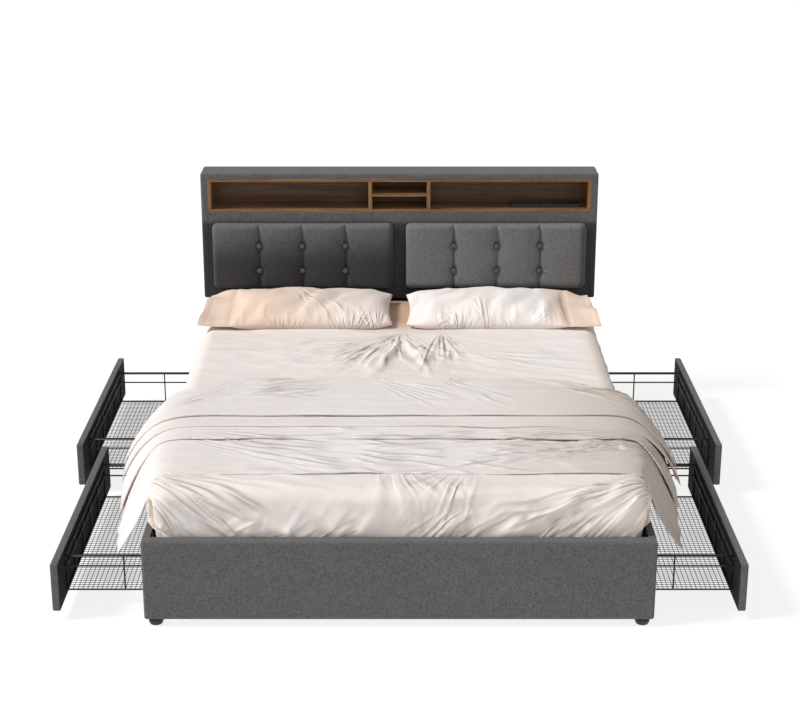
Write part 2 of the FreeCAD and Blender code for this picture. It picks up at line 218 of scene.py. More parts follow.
@dataclass(frozen=True)
class Shade:
    """Cloth that grows darker along an axis, where its neighbours keep the light off it.

    The shade runs from clear to deep, where most is its share. If facing is set, only cloth near the front is
    darker: it gives the Y where the shade is gone and where it is full.
    """

    axis: int
    clear: float
    deep: float
    most: float
    facing: tuple[float, float] | None = None


@dataclass(frozen=True)
class Linen:
    """Heathered grey upholstery linen, woven on all three axes so that every face shows threads."""

    name: str = "grey_linen"
    dark: Colour = (0.022, 0.022, 0.023)
    light: Colour = (0.185, 0.184, 0.183)
    # The colour of painted shade.
    shaded: Colour = (0.006, 0.006, 0.0065)
    pitch: float = 0.0017
    shades: tuple[Shade, ...] = ()

    def build(self) -> bpy.types.Material:
        """Return the material."""
        paint = Paint(self.name)
        heather = paint.fibres(80, 330, 2.0) * 0.15 + paint.fibres(160, 900) * 0.18
        tone = paint.spread(heather, 0.350, 0.650) + paint.grain(5.0, 3.0) * 0.08 - 0.04
        colour = paint.mix(tone, self.dark, self.light)
        # Painted shade where neighbouring parts keep the light off the cloth.
        for shade in self.shades:
            depth = paint.eased(paint.axes()[shade.axis], shade.clear, shade.deep)
            if shade.facing:
                depth *= paint.spread(paint.axes()[1], *shade.facing)
            colour = paint.mix(depth * shade.most, colour, self.shaded)
        paint.bump(paint.weave(self.pitch) * 0.4 + heather, 0.0006)
        return paint.done(colour, 0.92, Sheen_Weight=0.12, Sheen_Roughness=0.5, Specular_IOR_Level=0.25)


@dataclass(frozen=True)
class Pull:
    """Fine creases that run out from one point of a cloth, too thin for its mesh, so its finish draws them.

    The point is a place on the unrolled cloth. The creases fan out by spread degrees to both sides of heading,
    from start to reach metres away. If low is set, they lie only on the foot side of it. Their valleys take
    painted shade.
    """

    at: tuple[float, float]
    heading: float
    spread: float
    reach: float
    count: float = 12.0
    start: float = 0.05
    slope: float = 0.34
    # Share of painted shade in the creases' valleys.
    valley_shade: float = 0.18
    low: float | None = None


@dataclass(frozen=True)
class Cotton:
    """Washed cotton bedding. Its colour darkens to a warm painted shade inside creases, which the meshes mark in
    a vertex attribute.

    It also takes a painted shade towards one side, along X, and a painted tan shade between the pillows, along
    Y.
    """

    name: str
    base: Colour
    warm: Colour
    # Painted shade: the warm colour that creases darken to.
    crease_shade: Colour = (0.42, 0.31, 0.21)
    pitch: float = 0.0011
    rib: float = 0.5
    # Painted shade towards one side, where less light falls: its colour, its X band and its largest share.
    side_shade: Colour = (0.66, 0.47, 0.34)
    side_shade_x: tuple[float, float] | None = None
    side_shade_most: float = 0.7
    # Painted tan shade between the pillows, near the head: its colour, its X band and its Y band.
    between_pillows_shade: Colour = (0.44, 0.29, 0.185)
    between_pillows_shade_x: tuple[float, float] = (0.34, 0.12)
    between_pillows_shade_y: tuple[float, float] | None = None
    pulls: tuple[Pull, ...] = ()
    relief: float = 0.0004
    flat_z: float = 0.447

    def build(self) -> bpy.types.Material:
        """Return the material."""
        paint = Paint(self.name)
        x, y, _ = paint.axes()
        colour = paint.mix(paint.spread(paint.grain(2.2, 3.0), 0.35, 0.68), self.base, self.warm)
        # Painted shade growing towards one side.
        if self.side_shade_x:
            colour = paint.mix(paint.spread(x, *self.side_shade_x) * self.side_shade_most, colour, self.side_shade)
        # Painted tan shade between the pillows.
        if self.between_pillows_shade_y:
            between = paint.eased(abs(x), *self.between_pillows_shade_x)
            colour = paint.mix(between * paint.eased(y, *self.between_pillows_shade_y), colour, self.between_pillows_shade)
        # Painted shade inside the creases that the meshes mark.
        mark = paint.node("Attribute", {}, 2, attribute_name="crease_shade")
        colour = paint.mix(mark, colour, self.crease_shade)
        fluff = paint.spread(paint.fibres(90, 800), 1.1, 1.9) * 0.25
        colour = paint.mix(fluff, colour, (0.9, 0.88, 0.86), "SOFT_LIGHT")
        height = paint.weave(self.pitch) * (0.16 * self.rib) + paint.grain(26.0, 2.0, 0.4)
        for number, pull in enumerate(self.pulls):
            ridge, valley = self.crease(paint, pull, number * 7.3)
            height += ridge * (1 / self.relief)
            # The creases' valleys take painted shade.
            colour = paint.mix(valley * pull.valley_shade, colour, self.crease_shade)
        paint.bump(height, self.relief)
        return paint.done(colour, 0.88, Sheen_Weight=0.18, Sheen_Roughness=0.45, Specular_IOR_Level=0.2)

    def crease(self, paint: Paint, pull: Pull, seed: float) -> tuple[Wire, Wire]:
        """Draw one pull's creases on the cloth as if it were unrolled flat over its foot edge.

        Args:
            paint: the material under construction.
            pull: the creases.
            seed: picks the pattern.

        Returns:
            The creases' height in metres, and their valleys from 0 to 1.
        """
        x, y, z = paint.axes()
        flat_y = y + (z - self.flat_z)
        across, along = x - pull.at[0], flat_y - pull.at[1]
        turn = math.radians(pull.heading)
        out = across * math.cos(turn) + along * math.sin(turn)
        aside = along * math.cos(turn) - across * math.sin(turn)
        angle = paint.maths("ARCTAN2", aside, out)
        distance = paint.maths("SQRT", out * out + aside * aside)
        spot = paint.node("CombineXYZ", {0: angle * pull.count + paint.grain(5.0, 1.0) * 1.1,
                                         1: distance * 2.6 + seed})
        pattern = paint.node("TexNoise", {"Vector": spot, "Scale": 1.0, "Detail": 0.0}, noise_dimensions="2D")
        bend = abs(pattern - 0.5)
        zone = math.radians(pull.spread)
        patches = paint.eased(paint.grain(5.0, 1.0), 0.30, 0.56)
        mask = (paint.eased(abs(angle), zone, zone * 0.3) * paint.eased(distance, 0.0, pull.start)
                * paint.eased(distance, pull.reach, pull.reach * 0.3) * patches)
        if pull.low is not None:
            mask *= paint.eased(flat_y, pull.low, pull.low - 0.06)
        size = distance * (0.5 * pull.slope / pull.count)
        ridge = paint.eased(bend, 0.17, 0.0) * (mask * size)
        valley = paint.eased(bend, 0.06, 0.15) * (paint.eased(bend, 0.26, 0.17) * mask)
        return ridge, valley * paint.eased(paint.grain(14.0, 1.0), 0.42, 0.58)


@dataclass(frozen=True)
class Walnut:
    """Walnut veneer with its grain along one axis."""

    name: str
    grain: Grain
    pale: Colour = (0.310, 0.170, 0.078)
    deep: Colour = (0.130, 0.063, 0.027)
    pore: Colour = (0.045, 0.024, 0.014)

    def build(self) -> bpy.types.Material:
        """Return the material."""
        paint = Paint(self.name)
        axis = self.grain.value
        figure = paint.grain(stretched(axis, 1.6, 26.0), 4.0, 1.4)
        streak = paint.grain(stretched(axis, 5.0, 190.0), 3.0, 0.3)
        pores = paint.spread(paint.grain(stretched(axis, 40.0, 1500.0), 1.0), 0.60, 0.72)
        colour = paint.mix(paint.spread(figure * 0.65 + streak * 0.35, 0.36, 0.64), self.deep, self.pale)
        colour = paint.mix(pores * 0.5, colour, self.pore)
        paint.bump(streak - pores, 0.0003)
        return paint.done(colour, streak * 0.2 + 0.38, Specular_IOR_Level=0.25)


@dataclass(frozen=True)
class Coated:
    """A plain painted, moulded or plated surface with a fine texture and slightly uneven sheen."""

    name: str
    colour: Colour
    roughness: float
    metallic: float = 0.0
    texture: float = 900.0
    depth: float = 0.0001
    shine: float = 0.5

    def build(self) -> bpy.types.Material:
        """Return the material."""
        paint = Paint(self.name)
        handling = paint.grain(9.0, 4.0)
        lighter = tuple(min(1.0, value * 1.5 + 0.004) for value in self.colour)
        colour = paint.mix(handling * 0.35, self.colour, lighter)
        paint.bump(paint.grain(self.texture, 2.0), self.depth)
        return paint.done(colour, handling * 0.16 + (self.roughness - 0.08), Metallic=self.metallic,
                          Specular_IOR_Level=self.shine)


@dataclass(frozen=True)
class RawWood:
    """Sawn softwood or bare board, with its grain along one axis."""

    name: str
    grain: Grain
    pale: Colour
    deep: Colour

    def build(self) -> bpy.types.Material:
        """Return the material."""
        paint = Paint(self.name)
        rings = paint.grain(stretched(self.grain.value, 3.0, 60.0), 4.0, 0.8)
        fibre = paint.grain(stretched(self.grain.value, 27.0, 540.0), 2.0)
        paint.bump(rings + fibre, 0.0004)
        return paint.done(paint.mix(paint.spread(rings, 0.35, 0.65), self.pale, self.deep), fibre * 0.2 + 0.6)


Finish = Linen | Cotton | Walnut | Coated | RawWood

LINEN = Linen()
# Lit and shaded copies of the linen. The headboard's is a little lighter, with painted shade on its front faces
# below the cushions' tops.
LIT_SHADED_PANEL_LINEN = Linen("headboard_lit_shaded_linen", light=(0.200, 0.199, 0.198),
                    shades=(Shade(2, 0.790, 0.768, 0.68, (0.976, 0.968)),))
# The left cushion's is lighter, with painted shade growing towards its bottom and its inner end.
LIT_SHADED_LEFT_LINEN = Linen("left_cushion_lit_shaded_linen", (0.036, 0.036, 0.037), (0.220, 0.219, 0.218),
                   shades=(Shade(2, 0.800, 0.600, 0.74), Shade(0, -0.056, -0.030, 0.50)))
# The right cushion's is lighter still, lit more, with painted shade at its outer end and along its bottom.
LIT_SHADED_RIGHT_LINEN = Linen("right_cushion_lit_shaded_linen", (0.048, 0.048, 0.049), (0.250, 0.249, 0.248),
                    shades=(Shade(0, 0.735, 0.765, 0.60), Shade(2, 0.540, 0.510, 0.60)))
# The numbers of each Pull are its at, heading, spread, reach, count, start, slope, share of painted valley shade
# and low.
SHEET = Cotton("sheet_cotton", (0.71, 0.66, 0.632), (0.69, 0.615, 0.570), side_shade_x=(0.68, 0.80),
               side_shade_most=0.3, between_pillows_shade_y=(0.46, 0.66), pulls=(
    Pull((-0.88, -0.86), -38.0, 22.0, 1.50, 7.0, 0.15, 0.40, 0.2),
    Pull((-0.82, -1.00), -60.0, 26.0, 0.50, 6.0, 0.10, 0.45, 0.4),
    Pull((0.88, -0.94), -150.0, 24.0, 0.85, 7.0, 0.12, 0.46, 0.5),
    Pull((0.82, -1.02), -128.0, 26.0, 0.36, 8.0, 0.08, 0.35),
    Pull((-0.02, -0.74), -84.0, 38.0, 0.66, 6.0, 0.36, 0.24, 0.5),
    Pull((0.24, -0.76), -112.0, 30.0, 0.66, 6.0, 0.36, 0.24, 0.5),
    Pull((1.90, 0.30), -139.0, 34.0, 3.50, 62.0, 0.10, 0.70, 0.3, -1.120),
    Pull((0.01, 0.53), -94.0, 50.0, 0.60, 5.0, 0.08, 0.42, 1.0),
    Pull((0.17, 0.53), -90.0, 34.0, 0.50, 6.0, 0.08, 0.42, 1.0),
    Pull((0.00, 0.48), -142.0, 34.0, 0.62, 6.0, 0.08, 0.38, 1.0),
    Pull((0.05, 0.36), -20.0, 26.0, 0.90, 6.0, 0.14, 0.13, 0.1),
    Pull((-0.10, 0.36), -168.0, 22.0, 0.90, 6.0, 0.14, 0.13, 0.1)))
COVERLET = Cotton("coverlet_cotton", (0.70, 0.66, 0.645), (0.67, 0.62, 0.595), side_shade=(0.44, 0.375, 0.325),
                  side_shade_x=(0.25, 0.84), side_shade_most=0.82, pulls=(
    Pull((-0.92, -0.55), -12.0, 22.0, 1.90, 14.0, 0.25, 0.34),
    Pull((0.94, -0.56), -166.0, 22.0, 1.90, 14.0, 0.25, 0.34, 0.2),
    Pull((1.10, -0.70), 180.0, 18.0, 0.95, 15.0, 0.35, 0.42, 0.5)))
THROW = Cotton("throw_cotton", (0.69, 0.645, 0.625), (0.66, 0.605, 0.575), pitch=0.0022, rib=2.0,
               side_shade=(0.44, 0.365, 0.305), side_shade_x=(0.30, 0.84), side_shade_most=0.82, pulls=(
    Pull((-0.82, -0.36), 26.0, 26.0, 0.80, 7.0, 0.05, 0.45, 0.25),
    Pull((-0.60, -0.20), 4.0, 28.0, 0.42, 6.0, 0.05, 0.45, 0.15),
    Pull((-0.11, -0.08), -38.0, 28.0, 0.44, 7.0, 0.05, 0.45, 0.3),
    Pull((0.11, -0.06), -36.0, 30.0, 0.44, 7.0, 0.05, 0.45, 0.4),
    Pull((0.20, 0.00), -14.0, 20.0, 1.40, 12.0, 0.10, 0.26),
    Pull((0.50, -0.14), -18.0, 26.0, 0.70, 8.0, 0.05, 0.45, 0.7)))
PILLOW_WARM = Cotton("peach_pillowcase", (0.74, 0.66, 0.62), (0.73, 0.63, 0.575), side_shade=(0.68, 0.49, 0.37),
                     side_shade_x=(-0.12, -0.52), side_shade_most=0.75, pulls=(
    Pull((-0.20, 0.44), 86.0, 54.0, 0.24, 8.0, 0.04, 0.75, 0.5),
    Pull((-0.46, 0.42), 92.0, 50.0, 0.22, 9.0, 0.04, 0.60, 0.4),
    Pull((-0.08, 0.46), 100.0, 40.0, 0.24, 7.0, 0.04, 0.60, 0.4),
    Pull((-0.44, 0.96), -62.0, 24.0, 0.50, 5.0, 0.10, 0.30, 0.3)))
PILLOW_WHITE = Cotton("white_pillowcase", (0.79, 0.75, 0.725), (0.76, 0.69, 0.65), side_shade=(0.68, 0.47, 0.34),
                      side_shade_x=(0.56, 0.66), side_shade_most=0.75, pulls=(
    Pull((0.24, 0.43), 96.0, 42.0, 0.28, 9.0, 0.04, 0.75, 0.6),
    Pull((0.36, 0.46), 94.0, 18.0, 0.42, 7.0, 0.06, 0.55, 0.8),
    Pull((0.48, 0.43), 88.0, 44.0, 0.28, 8.0, 0.04, 0.75, 0.6),
    Pull((0.06, 0.50), 28.0, 30.0, 0.24, 7.0, 0.06, 0.32, 0.4)))
TICKING = Cotton("mattress_ticking", (0.74, 0.73, 0.71), (0.68, 0.67, 0.65), pitch=0.003, rib=3.0)
WALNUT_ACROSS = Walnut("walnut_across", Grain.ACROSS)
WALNUT_UPRIGHT = Walnut("walnut_upright", Grain.UPRIGHT)
# Darker walnut for the shelf's back board: partly darker wood, partly painted shade of the recess behind the
# shelf.
WALNUT_BACK = Walnut("walnut_back", Grain.ACROSS, (0.155, 0.085, 0.042), (0.066, 0.034, 0.017))
BLACK_BOARD = Coated("black_board", (0.006, 0.0055, 0.005), 0.85, texture=420.0, shine=0.15)
BLACK_STEEL = Coated("black_powder_coat", (0.010, 0.010, 0.011), 0.42)
FOOT_PLASTIC = Coated("foot_plastic", (0.014, 0.014, 0.015), 0.5)
STRIP_PLASTIC = Coated("strip_plastic", (0.016, 0.016, 0.017), 0.38)
OUTLET_PLASTIC = Coated("outlet_plastic", (0.035, 0.035, 0.037), 0.32)
NYLON = Coated("white_nylon", (0.62, 0.62, 0.60), 0.4)
BOLT_STEEL = Coated("zinc_plate", (0.42, 0.42, 0.40), 0.35, 0.9, 300.0)
PINE = RawWood("pine_slats", Grain.ACROSS, (0.60, 0.42, 0.24), (0.46, 0.29, 0.14))
MADE: dict[str, bpy.types.Material] = {}


def material_of(finish: Finish) -> bpy.types.Material:
    """Return the finish's material, built once."""
    if finish.name not in MADE:
        MADE[finish.name] = finish.build()
    return MADE[finish.name]


# ---------------------------------------------------------------- shared making
def show(bm: bmesh.types.BMesh, name: str, finish: Finish, body: str = "root",
         replaces: Sequence[str] = (), angle: float = 40.0) -> bpy.types.Object:
    """Turn a bmesh into a piece of the bed.

    Args:
        bm: the shape, in place. It is freed.
        name: the piece's name.
        finish: the finish that it takes.
        body: the CAD body that it rides on.
        replaces: CAD nodes that it stands for.
        angle: edges sharper than this many degrees stay crisp.

    Returns:
        The new object.
    """
    mesh = bpy.data.meshes.new(name)
    bm.to_mesh(mesh)
    bm.free()
    mesh.shade_smooth()
    mesh.set_sharp_from_angle(angle=math.radians(angle))
    mesh.materials.append(material_of(finish))
    piece = bpy.data.objects.new(name, mesh)
    bpy.context.scene.collection.objects.link(piece)
    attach(piece, body)
    if replaces:
        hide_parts(*replaces)
    log.info("%s: %d faces, %s, rides on %s", name, len(mesh.polygons), finish.name, body)
    return piece


def dress(node: str, finish: Finish, edge: float = 0.0, segments: int = 2) -> None:
    """Give a CAD node its finish and, if edge is set, softened edges.

    Args:
        node: the node's name.
        finish: the finish that it takes.
        edge: radius of its edges in metres.
        segments: steps round each edge.
    """
    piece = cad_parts[node]
    piece.data.materials.clear()
    piece.data.materials.append(material_of(finish))
    if edge:
        piece.modifiers.new("joined", "WELD").merge_threshold = 0.00002
        soft = piece.modifiers.new("soft_edges", "BEVEL")
        soft.width, soft.segments, soft.limit_method = edge, segments, "ANGLE"
        soft.angle_limit = math.radians(40.0)
    log.info("%s: CAD node in %s", node, finish.name)


def thicken(piece: bpy.types.Object, thickness: float) -> None:
    """Give a single-layer piece its thickness, inwards from its faces."""
    wall = piece.modifiers.new("thickness", "SOLIDIFY")
    wall.thickness, wall.offset = thickness, -1.0


def line_cloth(piece: bpy.types.Object, thickness: float = 0.0026) -> None:
    """Give an upholstery covering its thickness and even shading round its edges."""
    thicken(piece, thickness)
    piece.modifiers.new("even_shading", "WEIGHTED_NORMAL").keep_sharp = True


def add_box(bm: bmesh.types.BMesh, low: Sequence[float], high: Sequence[float]) -> list[bmesh.types.BMVert]:
    """Add a box between two corners, and return its vertices."""
    low, high = Vector(low), Vector(high)
    place = Matrix.Translation((low + high) / 2) @ Matrix.Diagonal((*(high - low), 1.0))
    return bmesh.ops.create_cube(bm, size=1.0, matrix=place)["verts"]


def round_edges(bm: bmesh.types.BMesh, edges: Sequence[bmesh.types.BMEdge], radius: float,
                segments: int) -> None:
    """Bevel edges to a round of the given radius."""
    bmesh.ops.bevel(bm, geom=list(edges), offset=radius, offset_type="OFFSET", segments=segments, profile=0.5,
                    affect="EDGES", material=-1)


def upholster(name: str, low: Sequence[float], high: Sequence[float], bare: Sequence[tuple[int, int]],
              radius: float, body: str = "root", replaces: Sequence[str] = (), finish: Linen = LINEN) -> None:
    """Wrap a board in linen: a rounded shell, open on its bare sides.

    Args:
        name: the piece's name.
        low: its lowest corner.
        high: its highest corner.
        bare: uncovered sides as (axis, -1 or 1).
        radius: round of the covered edges.
        body: the body that it rides on.
        replaces: CAD nodes that it stands for.
        finish: the linen that it takes.
    """
    bm = bmesh.new()
    add_box(bm, low, high)
    bm.normal_update()
    open_faces = [face for face in bm.faces for axis, side in bare if face.normal[axis] * side > 0.9]
    bmesh.ops.delete(bm, geom=open_faces, context="FACES")
    round_edges(bm, [edge for edge in bm.edges if len(edge.link_faces) == 2], radius, 5)
    line_cloth(show(bm, name, finish, body, replaces, 60.0))


def rod(bm: bmesh.types.BMesh, start: Point, end: Point, radius: float, segments: int = 8,
        tip: float | None = None) -> None:
    """Add a round rod between two points.

    Args:
        bm: the bmesh to add to.
        start: one end's centre.
        end: the other end's centre.
        radius: radius at the start.
        segments: sides of the rod.
        tip: radius at the end, if it tapers.
    """
    start, end = Vector(start), Vector(end)
    way = end - start
    turn = way.to_track_quat("Z", "Y").to_matrix().to_4x4()
    bmesh.ops.create_cone(bm, cap_ends=True, segments=segments, radius1=radius,
                          radius2=radius if tip is None else tip, depth=way.length,
                          matrix=Matrix.Translation((start + end) / 2) @ turn)


def evenly(low: float, high: float, count: int) -> list[float]:
    """Return count + 1 places from low to high, evenly apart."""
    return [low + (high - low) * index / count for index in range(count + 1)]


def grid_lines(half: float, edge: float, zones: Sequence[tuple[float, float]]) -> list[float]:
    """Grid lines from -half to half: close together over the rounded edges, and as the zones say between them.

    Args:
        half: half the width or the length.
        edge: radius of the rounded edge.
        zones: each zone's end and its spacing, in rising order; the last one ends at the far edge.

    Returns:
        The positions, in rising order.
    """
    near = [half - edge * (1 - math.cos(math.pi / 2 * index / EDGE_LINES)) for index in range(EDGE_LINES)]
    start = -(half - edge)
    lines = [-value for value in near] + [start]
    for end, step in zones:
        end = min(end, half - edge)
        lines += evenly(start, end, max(1, round((end - start) / step)))[1:]
        start = end
    return lines + near[::-1]


def rounded_tray(half_x: float, half_y: float, depth: float, edge: float, corner: float, step: float,
                 zones: Sequence[tuple[float, float]] = (), drop: float = 0.0) -> bmesh.types.BMesh:
    """A crownless cushion top: flat at z 0, rounded over its edges and plan corners, open below.

    Args:
        half_x: half the width.
        half_y: half the length.
        depth: how far the sides come down.
        edge: radius of the top edge.
        corner: plan radius of the corners.
        step: size of its faces.
        zones: zones along the length with their own spacing, as grid_lines() takes them.
        drop: spacing down the sides, if it isn't step.

    Returns:
        The bmesh.
    """
    xs = grid_lines(half_x, edge, [(half_x, step)])
    ys = grid_lines(half_y, edge, zones or [(half_y, step)])
    bm = bmesh.new()
    bmesh.ops.create_grid(bm, x_segments=len(xs) - 1, y_segments=len(ys) - 1, size=1.0)
    for vert in bm.verts:
        x = xs[round((vert.co.x + 1) / 2 * (len(xs) - 1))]
        y = ys[round((vert.co.y + 1) / 2 * (len(ys) - 1))]
        inset = min(half_x - abs(x), half_y - abs(y))
        a, b = (abs(x) - half_x + corner) / corner, (abs(y) - half_y + corner) / corner
        if a > 0 and b > 0:
            round_a, round_b = a * math.sqrt(1 - b * b / 2), b * math.sqrt(1 - a * a / 2)
            x = math.copysign(half_x - corner + corner * round_a, x)
            y = math.copysign(half_y - corner + corner * round_b, y)
            inset = corner * (1 - min(1.0, math.hypot(round_a, round_b)))
        turn = max(0.0, 1 - inset / edge)
        vert.co = (x, y, -edge * (1 - math.sqrt(max(0.0, 1 - turn * turn))))
    rim = [each for each in bm.edges if each.is_boundary]
    drops = max(1, round((depth - edge) / (drop or step)))
    for _ in range(drops):
        made = bmesh.ops.extrude_edge_only(bm, edges=rim)["geom"]
        bmesh.ops.translate(bm, vec=(0, 0, -(depth - edge) / drops),
                            verts=[each for each in made if isinstance(each, bmesh.types.BMVert)])
        rim = [each for each in made if isinstance(each, bmesh.types.BMEdge) and each.is_boundary]
    bm.normal_update()
    return bm


def smoothstep(value: float) -> float:
    """Return value eased from 0 to 1, clamped."""
    value = min(1.0, max(0.0, value))
    return value * value * (3 - 2 * value)


def bell(away: float, width: float) -> float:
    """Return 1 at no distance, falling off like a bell curve of the given width."""
    return math.exp(-(away / width) ** 2)


def relax(bm: bmesh.types.BMesh, factor: float, verts: Sequence[bmesh.types.BMVert] | None = None) -> None:
    """Move vertices, or else all of them, towards their neighbours."""
    bmesh.ops.smooth_vert(bm, verts=verts or bm.verts, factor=factor, use_axis_x=True, use_axis_y=True,
                          use_axis_z=True)


def fill_holes(bm: bmesh.types.BMesh) -> None:
    """Close every opening with one face."""
    bmesh.ops.holes_fill(bm, edges=[edge for edge in bm.edges if edge.is_boundary], sides=0)


def run_of(points: Sequence[Vector]) -> float:
    """Return the length of a line through points."""
    return sum((second - first).length for first, second in zip(points[:-1], points[1:]))


def bent(start: Vector, middle: Vector, end: Vector, count: int) -> list[Vector]:
    """Return count + 1 points of a curve that leaves start towards middle and comes to end from it."""
    return [start.lerp(middle, share).lerp(middle.lerp(end, share), share) for share in evenly(0, 1, count)]


def outward(way: Vector, side: int) -> Vector:
    """Return the unit direction out of a cloth that runs down a side of the bed along way."""
    return (Vector((-way.z, 0.0, way.x)) * side).normalized()


def side_name(side: int) -> str:
    """Return the word for a side that is -1 or 1."""
    return "right" if side > 0 else "left"


def ripple(x: float, y: float, heading: float, length: float, width: float, seed: float) -> float:
    """Long soft folds that run in one direction.

    Args:
        x: place across the cloth.
        y: place along the cloth.
        heading: direction of the folds in degrees.
        length: typical length of a fold.
        width: typical distance between folds.
        seed: picks the pattern.

    Returns:
        A height from about -1 to 1.
    """
    turn = math.radians(heading)
    long = x * math.cos(turn) + y * math.sin(turn)
    wide = y * math.cos(turn) - x * math.sin(turn)
    wide += 0.6 * width * noise.noise((x / length * 1.7, y / length * 1.7, seed + 9.0))
    return noise.noise((long / length, wide / width, seed)) * 1.6


@dataclass(frozen=True)
class Fan:
    """Creases in a mesh that run out from one point, as where cloth is pulled tight at a corner.

    They fan out by spread degrees to both sides of heading, from start to reach metres away.
    """

    at: tuple[float, float]
    heading: float
    spread: float
    reach: float
    height: float
    count: float = 9.0
    start: float = 0.04
    seed: float = 0.0

    def lift(self, x: float, y: float) -> float:
        """Height of the creases.

        Args:
            x: place across the cloth.
            y: place along the cloth.

        Returns:
            Metres, positive outwards.
        """
        across, along = x - self.at[0], y - self.at[1]
        distance = math.hypot(across, along)
        if distance < 1e-4 or distance > self.reach:
            return 0.0
        turn = (math.degrees(math.atan2(along, across)) - self.heading + 180.0) % 360.0 - 180.0
        if abs(turn) > self.spread:
            return 0.0
        edge = math.cos(math.pi / 2 * turn / self.spread) ** 0.7
        fade = smoothstep(distance / self.start) * smoothstep((self.reach - distance) / self.reach * 1.6)
        bend = 0.25 * noise.noise((x * 7.0, y * 7.0, self.seed + 3.0))
        wave = noise.noise((math.radians(turn) * self.count + bend, distance * 2.2, self.seed + 0.5))
        return self.height * edge * fade * (max(0.0, 1 - abs(wave) / 0.30) ** 1.4 - 0.25)


def store_crease_shade(bm: bmesh.types.BMesh, depth: Callable[[bmesh.types.BMVert], float]) -> None:
    """Store how deep each vertex lies in a crease, which the cotton finish darkens with painted shade.

    Args:
        bm: the cloth.
        depth: gives a vertex's mark from 0 to 1.
    """
    layer = bm.verts.layers.float.new("crease_shade")
    bm.verts.index_update()
    for vert in bm.verts:
        vert[layer] = depth(vert)


def measure(piece: bpy.types.Object) -> float:
    """Return the area of a single-layer piece's mesh in square metres."""
    return sum(polygon.area for polygon in piece.data.polygons)


